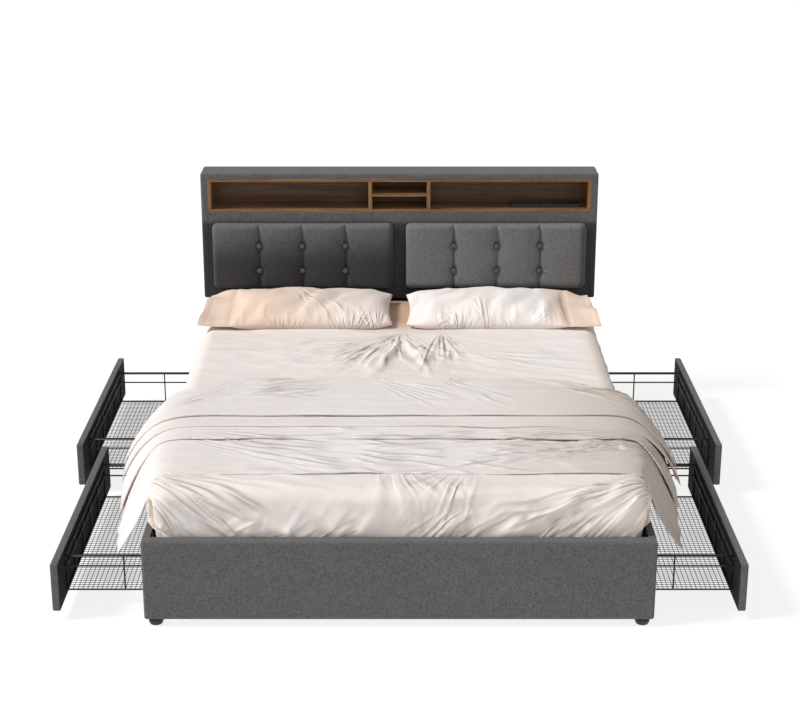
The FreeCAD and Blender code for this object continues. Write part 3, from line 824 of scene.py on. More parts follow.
# ---------------------------------------------------------------- headboard
@dataclass(frozen=True)
class Headboard:
    """Upholstered headboard with its walnut shelf, tufted back cushions and outlet strip."""

    shelf_half: float = 0.791
    edge: float = 0.008
    seam: float = 0.0015
    cushion_edge: float = 0.017
    cushion_corner: float = 0.019
    groove: float = 0.013
    groove_width: float = 0.0064
    crown: float = 0.0100
    dip: float = 0.0125
    dip_width: float = 0.0155
    button: float = 0.011
    channel_pitch: float = 0.1785
    sockets: tuple[float, ...] = (0.022, 0.078, 0.134)
    ports: tuple[float, ...] = (0.183, 0.211)
    socket_slots: tuple[Point, ...] = ((-0.0065, 0.0016, 0.0075), (0.0065, 0.0016, 0.0065))
    port_size: tuple[float, float] = (0.012, 0.0045)
    slot_depth: float = 0.0003

    def build(self) -> None:
        """Make every piece of the headboard."""
        self.wrap()
        # The front panel takes the lighter linen with painted shade below the cushions' tops.
        for node, name, finish in (("headboard_front_panel", "headboard_front", LIT_SHADED_PANEL_LINEN),
                                   ("headboard_back_panel", "headboard_back", LINEN)):
            upholster(name, *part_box(node), (), self.seam, replaces=[node], finish=finish)
        for side in (-1, 1):
            self.cushion(side)
        self.buttons()
        self.shelf()
        self.outlets()
        dress("headboard_studs", BLACK_BOARD, 0.001)
        dress("headboard_legs", BLACK_STEEL, 0.003, 3)

    def wrap(self) -> None:
        """One covering over both ends and the top, with the shelf and panel opening left free."""
        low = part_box("headboard_end_left")[0]
        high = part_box("headboard_end_right")[1]
        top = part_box("headboard_top")[0].z
        bm = bmesh.new()
        add_box(bm, low, high)
        for spot, way in (((-self.shelf_half, 0, 0), (1, 0, 0)), ((self.shelf_half, 0, 0), (1, 0, 0)),
                          ((0, 0, top), (0, 0, 1))):
            bmesh.ops.bisect_plane(bm, geom=bm.verts[:] + bm.edges[:] + bm.faces[:], plane_co=spot,
                                   plane_no=way)
        inside = [face for face in bm.faces
                  if abs(face.calc_center_median().x) < self.shelf_half and face.calc_center_median().z < top]
        bmesh.ops.delete(bm, geom=inside, context="FACES")
        bm.normal_update()
        folded = [edge for edge in bm.edges if len(edge.link_faces) == 2 and edge.calc_face_angle() > 0.5]
        round_edges(bm, folded, self.edge, 6)
        # The wrap's front faces take the same painted shade.
        piece = show(bm, "headboard_wrap", LIT_SHADED_PANEL_LINEN,
                     replaces=["headboard_end_left", "headboard_end_right", "headboard_top"], angle=60.0)
        line_cloth(piece)

    def centres(self) -> tuple[list[float], list[float]]:
        """Return the columns and rows of the right-hand buttons."""
        low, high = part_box("cushion_buttons")
        last = high.x - self.button
        columns = [last - 2 * self.channel_pitch, last - self.channel_pitch, last]
        return columns, [low.z + self.button, high.z - self.button]

    def padding(self, x: float, y: float, columns: Sequence[float], rows: Sequence[float],
                half: float) -> float:
        """Height of a cushion's face over its flat board.

        Args:
            x: place across the cushion, from its middle.
            y: place up the cushion, from its middle.
            columns: the sewn channels' places.
            rows: the buttons' places.
            half: half the cushion's width.

        Returns:
            Metres, positive outwards.
        """
        bounds = [-half, *columns, half]
        height = 0.0
        for left, right in zip(bounds[:-1], bounds[1:]):
            if left <= x <= right:
                share = (2 * x - left - right) / (right - left)
                height = self.crown * (1 - abs(share) ** 2.2)
        for column in columns:
            # A sewn channel is a groove with ruffled walls, deeper near its buttons.
            away = abs(x - column)
            near = min(abs(y - row) for row in rows)
            deep = self.groove * (1 + 0.25 * bell(near, 0.03))
            height -= deep * math.exp(-(away / self.groove_width) ** 1.1)
            height += 0.0009 * noise.noise((column * 9, y / 0.011, x / 0.05)) * math.exp(-away / 0.022)
            for row in rows:
                # A button pulls a dip, with eight puckers round it.
                reach = math.hypot(x - column, y - row)
                height -= self.dip * bell(reach, self.dip_width) + 0.0035 * bell(reach, 0.036)
                turn = math.atan2(y - row, x - column)
                height += 0.0011 * math.cos(8 * turn + column * 40) * bell(reach - 0.026, 0.012)
        return height + 0.0012 * noise.noise((x * 14, y * 14, half * 5))

    def cushion(self, side: int) -> None:
        """One tufted back cushion.

        Args:
            side: -1 for left and 1 for right.
        """
        node = "back_cushion_" + side_name(side)
        low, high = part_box(node)
        middle, size = (low + high) / 2, high - low
        columns, rows = self.centres()
        local_columns = sorted(side * column - middle.x for column in columns)
        local_rows = [row - middle.z for row in rows]
        bm = rounded_tray(size.x / 2, size.z / 2, size.y, self.cushion_edge, self.cushion_corner, 0.0034)
        for vert in bm.verts:
            share = smoothstep((vert.co.z + self.cushion_edge * 1.2) / (self.cushion_edge * 1.2))
            sag = self.padding(vert.co.x, vert.co.y, local_columns, local_rows, size.x / 2)
            pull = 1 - 0.010 * (1 - (vert.co.x / size.x * 2) ** 2) * smoothstep(-vert.co.z / 0.01)
            vert.co.z += sag * share - self.crown
            vert.co.y *= pull
        relax(bm, 0.2, [vert for vert in bm.verts if not vert.is_boundary])
        turn = Matrix.Translation((middle.x, low.y, middle.z)) @ Matrix.Rotation(math.pi / 2, 4, "X")
        bmesh.ops.transform(bm, matrix=turn, verts=bm.verts)
        fill_holes(bm)
        # Each cushion takes its own lighter copy of the linen, with painted shade.
        finish = LIT_SHADED_RIGHT_LINEN if side > 0 else LIT_SHADED_LEFT_LINEN
        piece = show(bm, "tufted_%s" % node, finish, replaces=[node], angle=70.0)

    def buttons(self) -> None:
        """Twelve fabric-covered buttons, as domes that sit in their dips."""
        low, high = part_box("cushion_buttons")
        forward = (low.y + high.y) / 2 - 0.0015
        shape = Matrix.Diagonal((0.0112, 0.0066, 0.0112, 1.0))
        bm = bmesh.new()
        for side, column, row in product((-1, 1), *self.centres()):
            place = Matrix.Translation((side * column, forward, row))
            bmesh.ops.create_uvsphere(bm, u_segments=20, v_segments=12, radius=1.0, matrix=place @ shape)
        show(bm, "fabric_buttons", LINEN, replaces=["cushion_buttons"], angle=80.0)

    def shelf(self) -> None:
        """Finish the walnut boards of the shelf."""
        for node in ("shelf_bottom_board", "shelf_top_board", "shelf_middle_board"):
            dress(node, WALNUT_ACROSS, 0.0008)
        # The back board's darker walnut is partly painted shade.
        dress("shelf_back_board", WALNUT_BACK, 0.0008)
        for node in ("shelf_side_left", "shelf_side_right", "shelf_divider_left", "shelf_divider_right"):
            dress(node, WALNUT_UPRIGHT, 0.0008)

    def outlets(self) -> None:
        """Finish the outlet strip and give its plates their slots."""
        dress("power_strip_housing", STRIP_PLASTIC, 0.0012, 3)
        dress("power_strip_outlets", OUTLET_PLASTIC, 0.0005)
        low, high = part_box("power_strip_outlets")
        middle, top = (low.y + high.y) / 2, high.z
        below, above = top - self.slot_depth, top + self.slot_depth
        slots = [(socket + out, wide, long) for socket in self.sockets for out, wide, long in self.socket_slots]
        slots += [(port, *self.port_size) for port in self.ports]
        # The slots are not cut: thin black boxes on the plate stand for their openings, and their black paints
        # the shade inside them.
        bm = bmesh.new()
        for place, wide, long in slots:
            x = low.x + place
            add_box(bm, (x - wide / 2, middle - long / 2, below), (x + wide / 2, middle + long / 2, above))
        for socket in self.sockets:
            x, y = low.x + socket, middle - 0.009
            rod(bm, (x, y, below), (x, y, above), 0.0022, 12)
        show(bm, "outlet_slots", BLACK_BOARD)


# ---------------------------------------------------------------- base
@dataclass(frozen=True)
class Base:
    """Upholstered footboard and side rails, with the frame under the mattress."""

    edge: float = 0.0085
    rail_edge: float = 0.005
    foot_radius: float = 0.0235
    foot_height: float = 0.027
    foot_places: tuple[tuple[float, float], ...] = (
        (-0.7665, -1.075), (0.7665, -1.075), (-0.755, 1.020), (0.755, 1.020),
        (0.0, -0.700), (0.0, -0.0575), (0.0, 0.600), (-0.7575, -0.0575), (0.7575, -0.0575))

    def build(self) -> None:
        """Make every piece of the base."""
        upholster("footboard_linen", *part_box("footboard_cover"), [(1, 1)], self.edge,
                  replaces=["footboard_cover"])
        for side in (-1, 1):
            word = side_name(side)
            cover = "side_rail_cover_" + word
            upholster("side_rail_linen_" + word, *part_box(cover), [(0, -side), (1, -1), (1, 1)], self.rail_edge,
                      replaces=[cover])
            dress("side_rail_core_" + word, BLACK_BOARD)
        dress("footboard_core", BLACK_BOARD)
        dress("slats", PINE, 0.003)
        for node in ("slat_ledges", "corner_brackets", "drawer_channels"):
            dress(node, BLACK_STEEL, 0.0006, 1)
        for node in ("centre_beam", "cross_rails", "support_legs"):
            dress(node, BLACK_STEEL, 0.002, 2)
        dress("bracket_bolts", BOLT_STEEL)
        self.feet()

    def feet(self) -> None:
        """Moulded bun feet, spun from their profile."""
        bm = bmesh.new()
        radius, height = self.foot_radius, self.foot_height
        profile = [(0.0, 0.0), (radius * 0.62, 0.0), (radius * 0.84, 0.0022), (radius * 0.97, 0.0085),
                   (radius, 0.0145), (radius * 0.95, 0.0205), (radius * 0.80, 0.0240),
                   (radius * 0.80, height), (0.0, height)]
        for spot in self.foot_places:
            ring = [bm.verts.new((spot[0] + x, spot[1], z)) for x, z in profile]
            edges = [bm.edges.new(pair) for pair in zip(ring[:-1], ring[1:])]
            bmesh.ops.spin(bm, geom=ring + edges, cent=(*spot, 0.0), axis=(0, 0, 1), angle=math.tau, steps=32,
                           use_merge=True)
        bmesh.ops.remove_doubles(bm, verts=bm.verts, dist=0.00001)
        bmesh.ops.recalc_face_normals(bm, faces=bm.faces)
        show(bm, "bun_feet", FOOT_PLASTIC, replaces=["feet"], angle=35.0)


# ---------------------------------------------------------------- drawers
@dataclass(frozen=True)
class Drawer:
    """One wire-basket drawer with its upholstered front."""

    place: str
    side: int
    wire: float = 0.0030
    mesh_wire: float = 0.0011
    mesh_pitch: float = 0.0155
    post_pitch: float = 0.163
    runner: float = 0.011
    runner_wall: float = 0.003
    middle_rail: float = 0.131
    edge: float = 0.0055
    ear: tuple[float, float] = (0.036, 0.0175)
    ear_gap: float = 0.004
    axle: float = 0.003

    @property
    def stem(self) -> str:
        """The drawer's name in the model."""
        return "%s_%s" % (self.place, side_name(self.side))

    def build(self) -> None:
        """Make the front, the basket and the rollers."""
        body, cover = self.stem + "_drawer", self.stem + "_front_cover"
        upholster(self.stem + "_front_linen", *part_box(cover), [(0, -self.side)], self.edge, body, [cover])
        dress(self.stem + "_front_board", BLACK_BOARD)
        for end in ("front", "rear"):
            dress("%s_%s_rollers" % (self.stem, end), NYLON, 0.0006)
        self.basket(body)

    def basket(self, body: str) -> None:
        """Welded wire basket with its runners, ears and axles.

        Args:
            body: the body that it rides on.
        """
        low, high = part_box(self.stem + "_basket")
        wire = self.wire
        xs = (low.x + wire, high.x - wire)
        ys = (low.y + self.runner + wire, high.y - self.runner - wire)
        zs = (low.z + wire, high.z - wire)
        bm = bmesh.new()
        for z in (zs[0], self.middle_rail, zs[1]):
            for y in ys:
                rod(bm, (low.x, y, z), (high.x, y, z), wire)
            for x in xs:
                rod(bm, (x, ys[0] - wire, z), (x, ys[1] + wire, z), wire)
        posts = [*product(self.paced(xs, self.post_pitch), ys), *product(xs, self.paced(ys, self.post_pitch))]
        for x, y in posts:
            rod(bm, (x, y, zs[0]), (x, y, zs[1]), wire * 0.9)
        self.floor(bm, xs, ys, zs[0])
        self.runners(bm, low, high)
        show(bm, self.stem + "_wire_basket", BLACK_STEEL, body, [self.stem + "_basket"], 50.0)

    def paced(self, span: Sequence[float], pitch: float) -> list[float]:
        """Return places across a span and at its ends, about a pitch apart."""
        return evenly(*span, round((span[1] - span[0]) / pitch))

    def floor(self, bm: bmesh.types.BMesh, xs: Sequence[float], ys: Sequence[float], z: float) -> None:
        """Lay the fine mesh of the basket's floor.

        Args:
            bm: the bmesh to add to.
            xs: its span in X.
            ys: its span in Y.
            z: height of its lower wires.
        """
        lower, upper = z - 0.0005, z + 0.0015
        for x in self.paced(xs, self.mesh_pitch)[1:-1]:
            rod(bm, (x, ys[0], lower), (x, ys[1], lower), self.mesh_wire, 6)
        for y in self.paced(ys, self.mesh_pitch)[1:-1]:
            rod(bm, (xs[0], y, upper), (xs[1], y, upper), self.mesh_wire, 6)

    def runners(self, bm: bmesh.types.BMesh, low: Vector, high: Vector) -> None:
        """Add the runners that lie on the fixed rollers, and the rear ears with their axles.

        Args:
            bm: the bmesh to add to.
            low: the basket's lowest corner.
            high: its highest corner.
        """
        rear, front = (low.x, high.x) if self.side > 0 else (high.x, low.x)
        long, deep = self.ear
        ear_end, axle_x = rear + self.side * long, rear + self.side * long / 2
        for wall, out in ((low.y + self.runner, -1), (high.y - self.runner, 1)):
            self.plate(bm, (ear_end + self.side * self.ear_gap, wall, high.z - self.runner_wall),
                       (front, wall + out * self.runner, high.z))
            self.plate(bm, (rear, wall, high.z - deep), (ear_end, wall - out * self.runner_wall, high.z))
            axle_z = high.z - 0.0025
            rod(bm, (axle_x, wall, axle_z), (axle_x, wall + out * 0.0085, axle_z), self.axle, 12)
            for z in (high.z - 0.004, self.middle_rail):
                self.plate(bm, (front - self.side * 0.0015, wall - out * 0.016, z - 0.009),
                           (front, wall + out * 0.012, z + 0.003))

    def plate(self, bm: bmesh.types.BMesh, first: Point, second: Point) -> None:
        """Add a small bevelled steel plate.

        Args:
            bm: the bmesh to add to.
            first: one of its corners.
            second: the opposite corner.
        """
        low = Vector([min(pair) for pair in zip(first, second)])
        high = Vector([max(pair) for pair in zip(first, second)])
        edges = {edge for vert in add_box(bm, low, high) for edge in vert.link_edges}
        round_edges(bm, list(edges), min(high - low) * 0.3, 1)


# ---------------------------------------------------------------- bedding
@dataclass(frozen=True)
class Mattress:
    """Mattress with its fitted sheet, creased where it is pulled over the foot and rumpled near the pillows."""

    middle_y: float = -0.049
    half_x: float = 0.762
    half_y: float = 1.011
    top: float = 0.445
    depth: float = 0.200
    edge: float = 0.036
    corner: float = 0.058
    sheet_gap: float = 0.0028
    bulge: float = 0.020
    rail_top: float = 0.297
    tuck_top: float = 0.415
    zones: tuple[tuple[float, float], ...] = ((-0.78, 0.0072), (-0.02, 0.030), (0.60, 0.0072), (1.0, 0.024))
    creases: tuple[Fan, ...] = (
        Fan((-0.86, -0.84), -32.0, 26.0, 1.10, 0.0120, 7.0, 0.20, 1.0),
        Fan((-0.84, -0.96), -52.0, 30.0, 0.50, 0.0100, 5.0, 0.12, 2.0),
        Fan((0.88, -0.86), -148.0, 28.0, 0.90, 0.0150, 6.0, 0.18, 3.0),
        Fan((0.84, -0.97), -128.0, 28.0, 0.45, 0.0100, 5.0, 0.12, 4.0),
        Fan((-0.02, -0.80), -82.0, 36.0, 0.56, 0.0080, 5.0, 0.36, 5.0),
        Fan((0.01, 0.50), -94.0, 40.0, 0.62, 0.0200, 4.5, 0.12, 7.0),
        Fan((0.18, 0.50), -95.0, 26.0, 0.46, 0.0120, 5.0, 0.12, 8.0),
        Fan((-0.04, 0.44), -139.0, 30.0, 0.66, 0.0140, 6.0, 0.14, 9.0),
        Fan((0.10, 0.30), -22.0, 26.0, 0.70, 0.0060, 7.0, 0.14, 10.0),
        Fan((-0.10, 0.30), -168.0, 22.0, 0.62, 0.0060, 7.0, 0.14, 11.0),
        Fan((-0.60, 0.36), -30.0, 24.0, 0.50, 0.0050, 7.0, 0.14, 12.0),
    )

    def lift(self, x: float, y: float) -> float:
        """Height of the sheet's creases.

        Args:
            x: place across the unrolled cloth.
            y: place along the unrolled cloth.

        Returns:
            Metres, positive outwards.
        """
        height = sum(fan.lift(x, y) for fan in self.creases)
        height += 0.0030 * ripple(x, y, 8.0, 0.34, 0.070, 21.0)
        height += 0.0016 * ripple(x, y, -24.0, 0.20, 0.038, 22.0)
        foot = smoothstep((-1.075 - y) / 0.09)
        if foot > 0:
            gather = max(0.0, noise.noise(((x - 0.7 * y) / 0.034, y / 0.14, 23.0)) * 1.7) ** 1.2
            height += 0.0060 * foot * gather * (1 - smoothstep((abs(x + 0.02) - 0.42) / 0.25))
        return height

    def build(self) -> None:
        """Make the mattress and its fitted sheet."""
        pad = rounded_tray(self.half_x, self.half_y, self.depth, self.edge, self.corner, 0.04)
        for vert in pad.verts:
            vert.co.y *= 1 - 0.002 * (1 - (vert.co.x / self.half_x) ** 2)
        bmesh.ops.translate(pad, vec=(0, self.middle_y, self.top), verts=pad.verts)
        fill_holes(pad)
        show(pad, "mattress_pad", TICKING, replaces=["mattress"], angle=60.0)
        self.fitted_sheet()

    def fitted_sheet(self) -> None:
        """Make the fitted sheet over the mattress."""
        gap = self.sheet_gap
        bm = rounded_tray(self.half_x + gap, self.half_y + gap, self.depth + gap, self.edge, self.corner,
                          0.0074, self.zones, 0.0095)
        bmesh.ops.translate(bm, vec=(0, self.middle_y, self.top + gap), verts=bm.verts)
        bm.normal_update()
        bm.verts.index_update()
        lifts: dict[int, float] = {}
        for vert in bm.verts:
            # Creases are looked up on the cloth as if its sides were unrolled, and fade behind the rails.
            drop = self.top + gap - vert.co.z
            x = vert.co.x + math.copysign(drop * abs(vert.normal.x), vert.co.x)
            y = vert.co.y + math.copysign(drop * abs(vert.normal.y), vert.co.y)
            height = self.lift(x, y)
            free = smoothstep((vert.co.z - 0.285) / 0.03) if vert.normal.z < 0.5 else 1.0
            lifts[vert.index] = max(-0.0022, height) * free + 0.0016 * free + self.tuck(vert.co)
        normals = [vert.normal.copy() for vert in bm.verts]
        for vert, normal in zip(bm.verts, normals):
            vert.co += normal * lifts[vert.index]
            vert.co.x *= 1 + self.swell(vert.co.z) / self.half_x
        relax(bm, 0.25)
        # Creases and the foot corners' pleats take painted shade.
        store_crease_shade(bm, lambda vert: self.crease_shade_of(vert, lifts[vert.index]))
        piece = show(bm, "fitted_sheet", SHEET, angle=80.0)
        thicken(piece, 0.0009)

    def swell(self, z: float) -> float:
        """How far the mattress sides swell over the rails at a height."""
        above, under = smoothstep((z - self.rail_top) / 0.022), smoothstep((self.top + 0.012 - z) / 0.05)
        return self.bulge * above * under

    def tuck(self, place: Vector) -> float:
        """Folds of the foot corners: an open pleat at the left and a standing one at the right.

        Args:
            place: a place on the sheet's side.

        Returns:
            Metres, positive outwards.
        """
        if place.y > self.middle_y - self.half_y + 0.05 or place.z > self.tuck_top or abs(place.x) < 0.66:
            return 0.0
        low = smoothstep((self.tuck_top - place.z) / 0.03)
        if place.x < 0:
            line = -0.756 + 0.030 * smoothstep((0.340 - place.z) / 0.055)
            return -0.018 * low * bell(place.x - line, 0.0090)
        line = 0.741 - 0.10 * (0.40 - place.z)
        step = smoothstep((place.x - line - 0.003) / 0.008) * smoothstep((0.40 - place.z) / 0.05)
        return low * 0.009 * (bell(place.x - line, 0.007) - step)

    def crease_shade_of(self, vert: bmesh.types.BMVert, height: float) -> float:
        """How much painted shade a crease takes: strongest in the slept-in middle near the pillows.

        Args:
            vert: a vertex of the sheet.
            height: how far it was lifted.

        Returns:
            A mark from 0 to 1.
        """
        slept = math.exp(-((vert.co.x / 0.30) ** 2 + ((vert.co.y - 0.22) / 0.20) ** 2))
        low = smoothstep((0.0012 - height) / 0.005)
        pleat = smoothstep((-0.003 - height) / 0.003)
        # Deep creases and the corner pleats take the most painted shade.
        return min(1.0, low * (0.34 * slept + 0.05) + 0.8 * pleat)


@dataclass(frozen=True)
class Hang:
    """How one side of a layer hangs: a control point (x, z) for its curve, and the hem's (x, y, z)."""

    belly: tuple[float, float]
    hem: Point


@dataclass(frozen=True)
class Station:
    """A layer's section where it crosses the mattress top at top_y."""

    top_y: float
    left: Hang
    right: Hang


@dataclass(frozen=True)
class DrapedLayer:
    """A layer of bedding that lies over the mattress and hangs down both sides, with a rolled foot edge.

    Its stations run from foot to head. The rim is where it leaves the mattress top, for the lowest layer.
    """

    name: str
    finish: Cotton
    slot: str
    height: float
    stations: tuple[Station, ...]
    roll: float
    tuck: float
    creases: tuple[Fan, ...]
    sway: float
    seed: float
    replaces: tuple[str, ...] = ()
    thickness: float = 0.0024
    step: float = 0.0070
    flat_x: float = 0.70
    side_x: float = 0.762
    hang_from: float = 0.74
    rim: tuple[float, float] = (0.792, 0.437)
    lowest: float = 0.4535
    sweep: float = 0.0

    @property
    def ends(self) -> tuple[float, float]:
        """Where the layer's foot and head edges cross the mattress top."""
        return self.stations[0].top_y, self.stations[-1].top_y

    def section(self, top_y: float, side: int) -> Hang:
        """Interpolate how one side hangs.

        Args:
            top_y: where the section crosses the mattress top.
            side: -1 for left and 1 for right.

        Returns:
            The hang.
        """
        row = self.stations
        pick = attrgetter(side_name(side))
        if top_y <= row[0].top_y:
            return pick(row[0])
        for first, second in zip(row[:-1], row[1:]):
            if top_y <= second.top_y:
                share = (top_y - first.top_y) / (second.top_y - first.top_y)
                a, b = pick(first), pick(second)
                return Hang(tuple(p + (q - p) * share for p, q in zip(a.belly, b.belly)),
                            tuple(p + (q - p) * share for p, q in zip(a.hem, b.hem)))
        return pick(row[-1])

    def path(self, top_y: float, side: int) -> list[Vector]:
        """Trace one side's section.

        Args:
            top_y: where the section crosses the mattress top.
            side: -1 for left and 1 for right.

        Returns:
            Its points, from the middle of the bed out to the hem.
        """
        hang = self.section(top_y, side)
        over = self.height - self.lowest
        foot = smoothstep((-0.80 - top_y) / 0.09)
        start = Vector((self.flat_x, top_y, self.height))
        corner = Vector((self.side_x, top_y, self.height - 0.001))
        rim_x, rim_z = self.rim
        rim = Vector((rim_x + 0.6 * over - 0.008 * foot, top_y, rim_z + 0.9 * over - 0.010 * foot))
        belly = Vector((hang.belly[0], (top_y + hang.hem[1]) / 2, hang.belly[1]))
        # A flat stretch, the turn over the edge and the hang, eased where they meet.
        flat = 20
        points = [Vector((x, top_y, self.height)) for x in evenly(0.0, self.flat_x, flat)[:-1]]
        points += bent(start, corner, rim, 10)[:-1] + bent(rim, belly, Vector(hang.hem), 24)
        for _ in range(6):
            points[flat:-1] = [(points[i - 1] + points[i] * 2 + points[i + 1]) / 4
                               for i in range(flat, len(points) - 1)]
        return [Vector((point.x * side, point.y, point.z)) for point in points]

    def sample(self, points: Sequence[Vector], distance: float) -> tuple[Vector, Vector]:
        """Find a point of a section and the way it runs.

        Args:
            points: the section's points.
            distance: metres along it.

        Returns:
            The point and the unit direction.
        """
        for first, second in zip(points[:-1], points[1:]):
            length = (second - first).length
            if distance <= length:
                return first.lerp(second, distance / max(length, 1e-9)), (second - first).normalized()
            distance -= length
        return points[-1].copy(), (points[-1] - points[-2]).normalized()

    def rows(self) -> list[tuple[float, float, float]]:
        """Lay out the grid's rows, from the tucked-under edge, round the roll and on to the head edge.

        Returns:
            Each row's top_y, how far it is shifted towards the head, and its height over the layer.
        """
        foot, head = self.ends
        rows = [(foot, self.tuck * share, -2 * self.roll) for share in (1.0, 0.66, 0.33, 0.0)]
        for turn in evenly(0.0, math.pi, EDGE_LINES)[1:-1]:
            rows.append((foot, -self.roll * math.sin(turn), -self.roll * (1 + math.cos(turn))))
        rows += [(top_y, 0.0, 0.0) for top_y in evenly(foot, head, round((head - foot) / self.step))]
        rows.append((head, self.roll * 0.5, -self.roll * 0.5))
        rows.append((head, self.roll * 0.35, -self.roll * 1.2))
        return rows

    def lift(self, along: float, y: float, hang: float) -> float:
        """Height of the folds.

        Args:
            along: signed distance from the middle of the bed, on the cloth.
            y: place along the bed.
            hang: 0 on the mattress top, 1 at the hem.

        Returns:
            Metres, positive outwards.
        """
        height = sum(fan.lift(along, y) for fan in self.creases)
        height += 0.0022 * ripple(along, y, 4.0, 0.42, 0.060, self.seed)
        edge = math.exp(-max(0.0, y - self.ends[0]) / 0.030)
        height += 0.0016 * edge * max(0.0, noise.noise((along * 5.5, 0.0, self.seed + 8)) * 1.7)
        swing = noise.noise((y / 0.085, math.copysign(4.0, along), self.seed + 2)) * 1.5
        fine = noise.noise((y / 0.032, along * 1.5, self.seed + 5)) * 1.4
        return height + self.sway * hang * (swing + 0.35 * fine)

    def swept(self, top_y: float, distance: float) -> float:
        """How far the head edge swings back towards the foot as it nears the side of the mattress."""
        foot, head = self.ends
        return self.sweep * ((top_y - foot) / (head - foot)) ** 2 * smoothstep((distance - 0.54) / 0.22)

    def build(self) -> None:
        """Make the layer."""
        rows = self.rows()
        sections = [{side: self.path(top_y, side) for side in (-1, 1)} for top_y, _, _ in rows]
        lengths = [{side: run_of(line) for side, line in each.items()} for each in sections]
        columns = 2 * round(1.0 / (self.step * 1.12))
        bm = bmesh.new()
        bmesh.ops.create_grid(bm, x_segments=columns, y_segments=len(rows) - 1, size=1.0)
        bm.verts.index_update()
        depths: dict[int, float] = {}
        for vert in bm.verts:
            across = vert.co.x
            row = round((vert.co.y + 1) / 2 * (len(rows) - 1))
            top_y, shift, drop = rows[row]
            side = 1 if across >= 0 else -1
            distance = abs(across) * lengths[row][side]
            spot, way = self.sample(sections[row][side], distance)
            hang = smoothstep((distance - self.hang_from) / 0.24)
            height = self.lift(side * distance, top_y + shift, hang)
            depths[vert.index] = smoothstep((0.0004 - height) / 0.005)
            fade = (rows[-1][0] - top_y) / (rows[-1][0] - rows[0][0])
            wander = 0.009 * fade * noise.noise((across * 4.5, 0.0, self.seed)) * 1.5
            slide = Vector((0.0, shift + wander - self.swept(top_y, distance), 0.0))
            vert.co = spot + outward(way, side) * (drop + height) + slide
        relax(bm, 0.3)
        # Crease valleys take a faint painted shade.
        store_crease_shade(bm, lambda vert: 0.10 * depths[vert.index])
        piece = show(bm, self.name, self.finish, replaces=self.replaces, angle=80.0)
        area = measure(piece)
        thicken(piece, self.thickness)
        width = sum(lengths[-3].values())
        area / width
        self.fringe()

    def fringe(self) -> list[bpy.types.Object]:
        """Return the layer's fringe pieces: a plain layer has none."""
        return []


@dataclass(frozen=True)
class FringedLayer(DrapedLayer):
    """A draped layer whose side hems end in knotted yarn fringes."""

    tassel: float = 0.030
    pitch: float = 0.0085
    knot: tuple[float, float] = (0.0021, 0.0017)
    strand: tuple[float, float] = (0.0018, 0.0010)

    def fringe(self) -> list[bpy.types.Object]:
        """Make a row of tapering yarn tassels along each side hem.

        Returns:
            One piece with every tassel.
        """
        draw = random.Random(int(self.seed * 10))
        bm = bmesh.new()
        foot, head = self.ends
        for side in (-1, 1):
            for top_y in evenly(foot, head, round((head - foot) / self.pitch)):
                points = self.path(top_y, side)
                tip, way = points[-1], (points[-1] - points[-3]).normalized()
                distance = run_of(points)
                tip = tip + outward(way, side) * (self.lift(side * distance, top_y, 1.0) - 0.001)
                tip.y -= self.swept(top_y, distance)
                fall = (way + Vector((0, draw.uniform(-0.35, 0.25), -0.35))).normalized()
                length = self.tassel * draw.uniform(0.7, 1.15)
                bend = tip + fall * length * 0.45 + Vector((0, draw.uniform(-0.002, 0.002), 0))
                end = bend + (fall + Vector((0, draw.uniform(-0.3, 0.3), -0.5))).normalized() * length * 0.6
                rod(bm, tip - way * 0.002, bend, self.knot[0], 5, self.knot[1])
                rod(bm, bend, end, self.strand[0], 5, self.strand[1])
        return [show(bm, self.name + "_fringe", self.finish)]


def station(top_y: float, belly: tuple[float, float], left: Point, right: Point | None = None) -> Station:
    """Return a station from its hems, where the right one may be the same as the left one."""
    return Station(top_y, Hang(belly, left), Hang(belly, right or left))


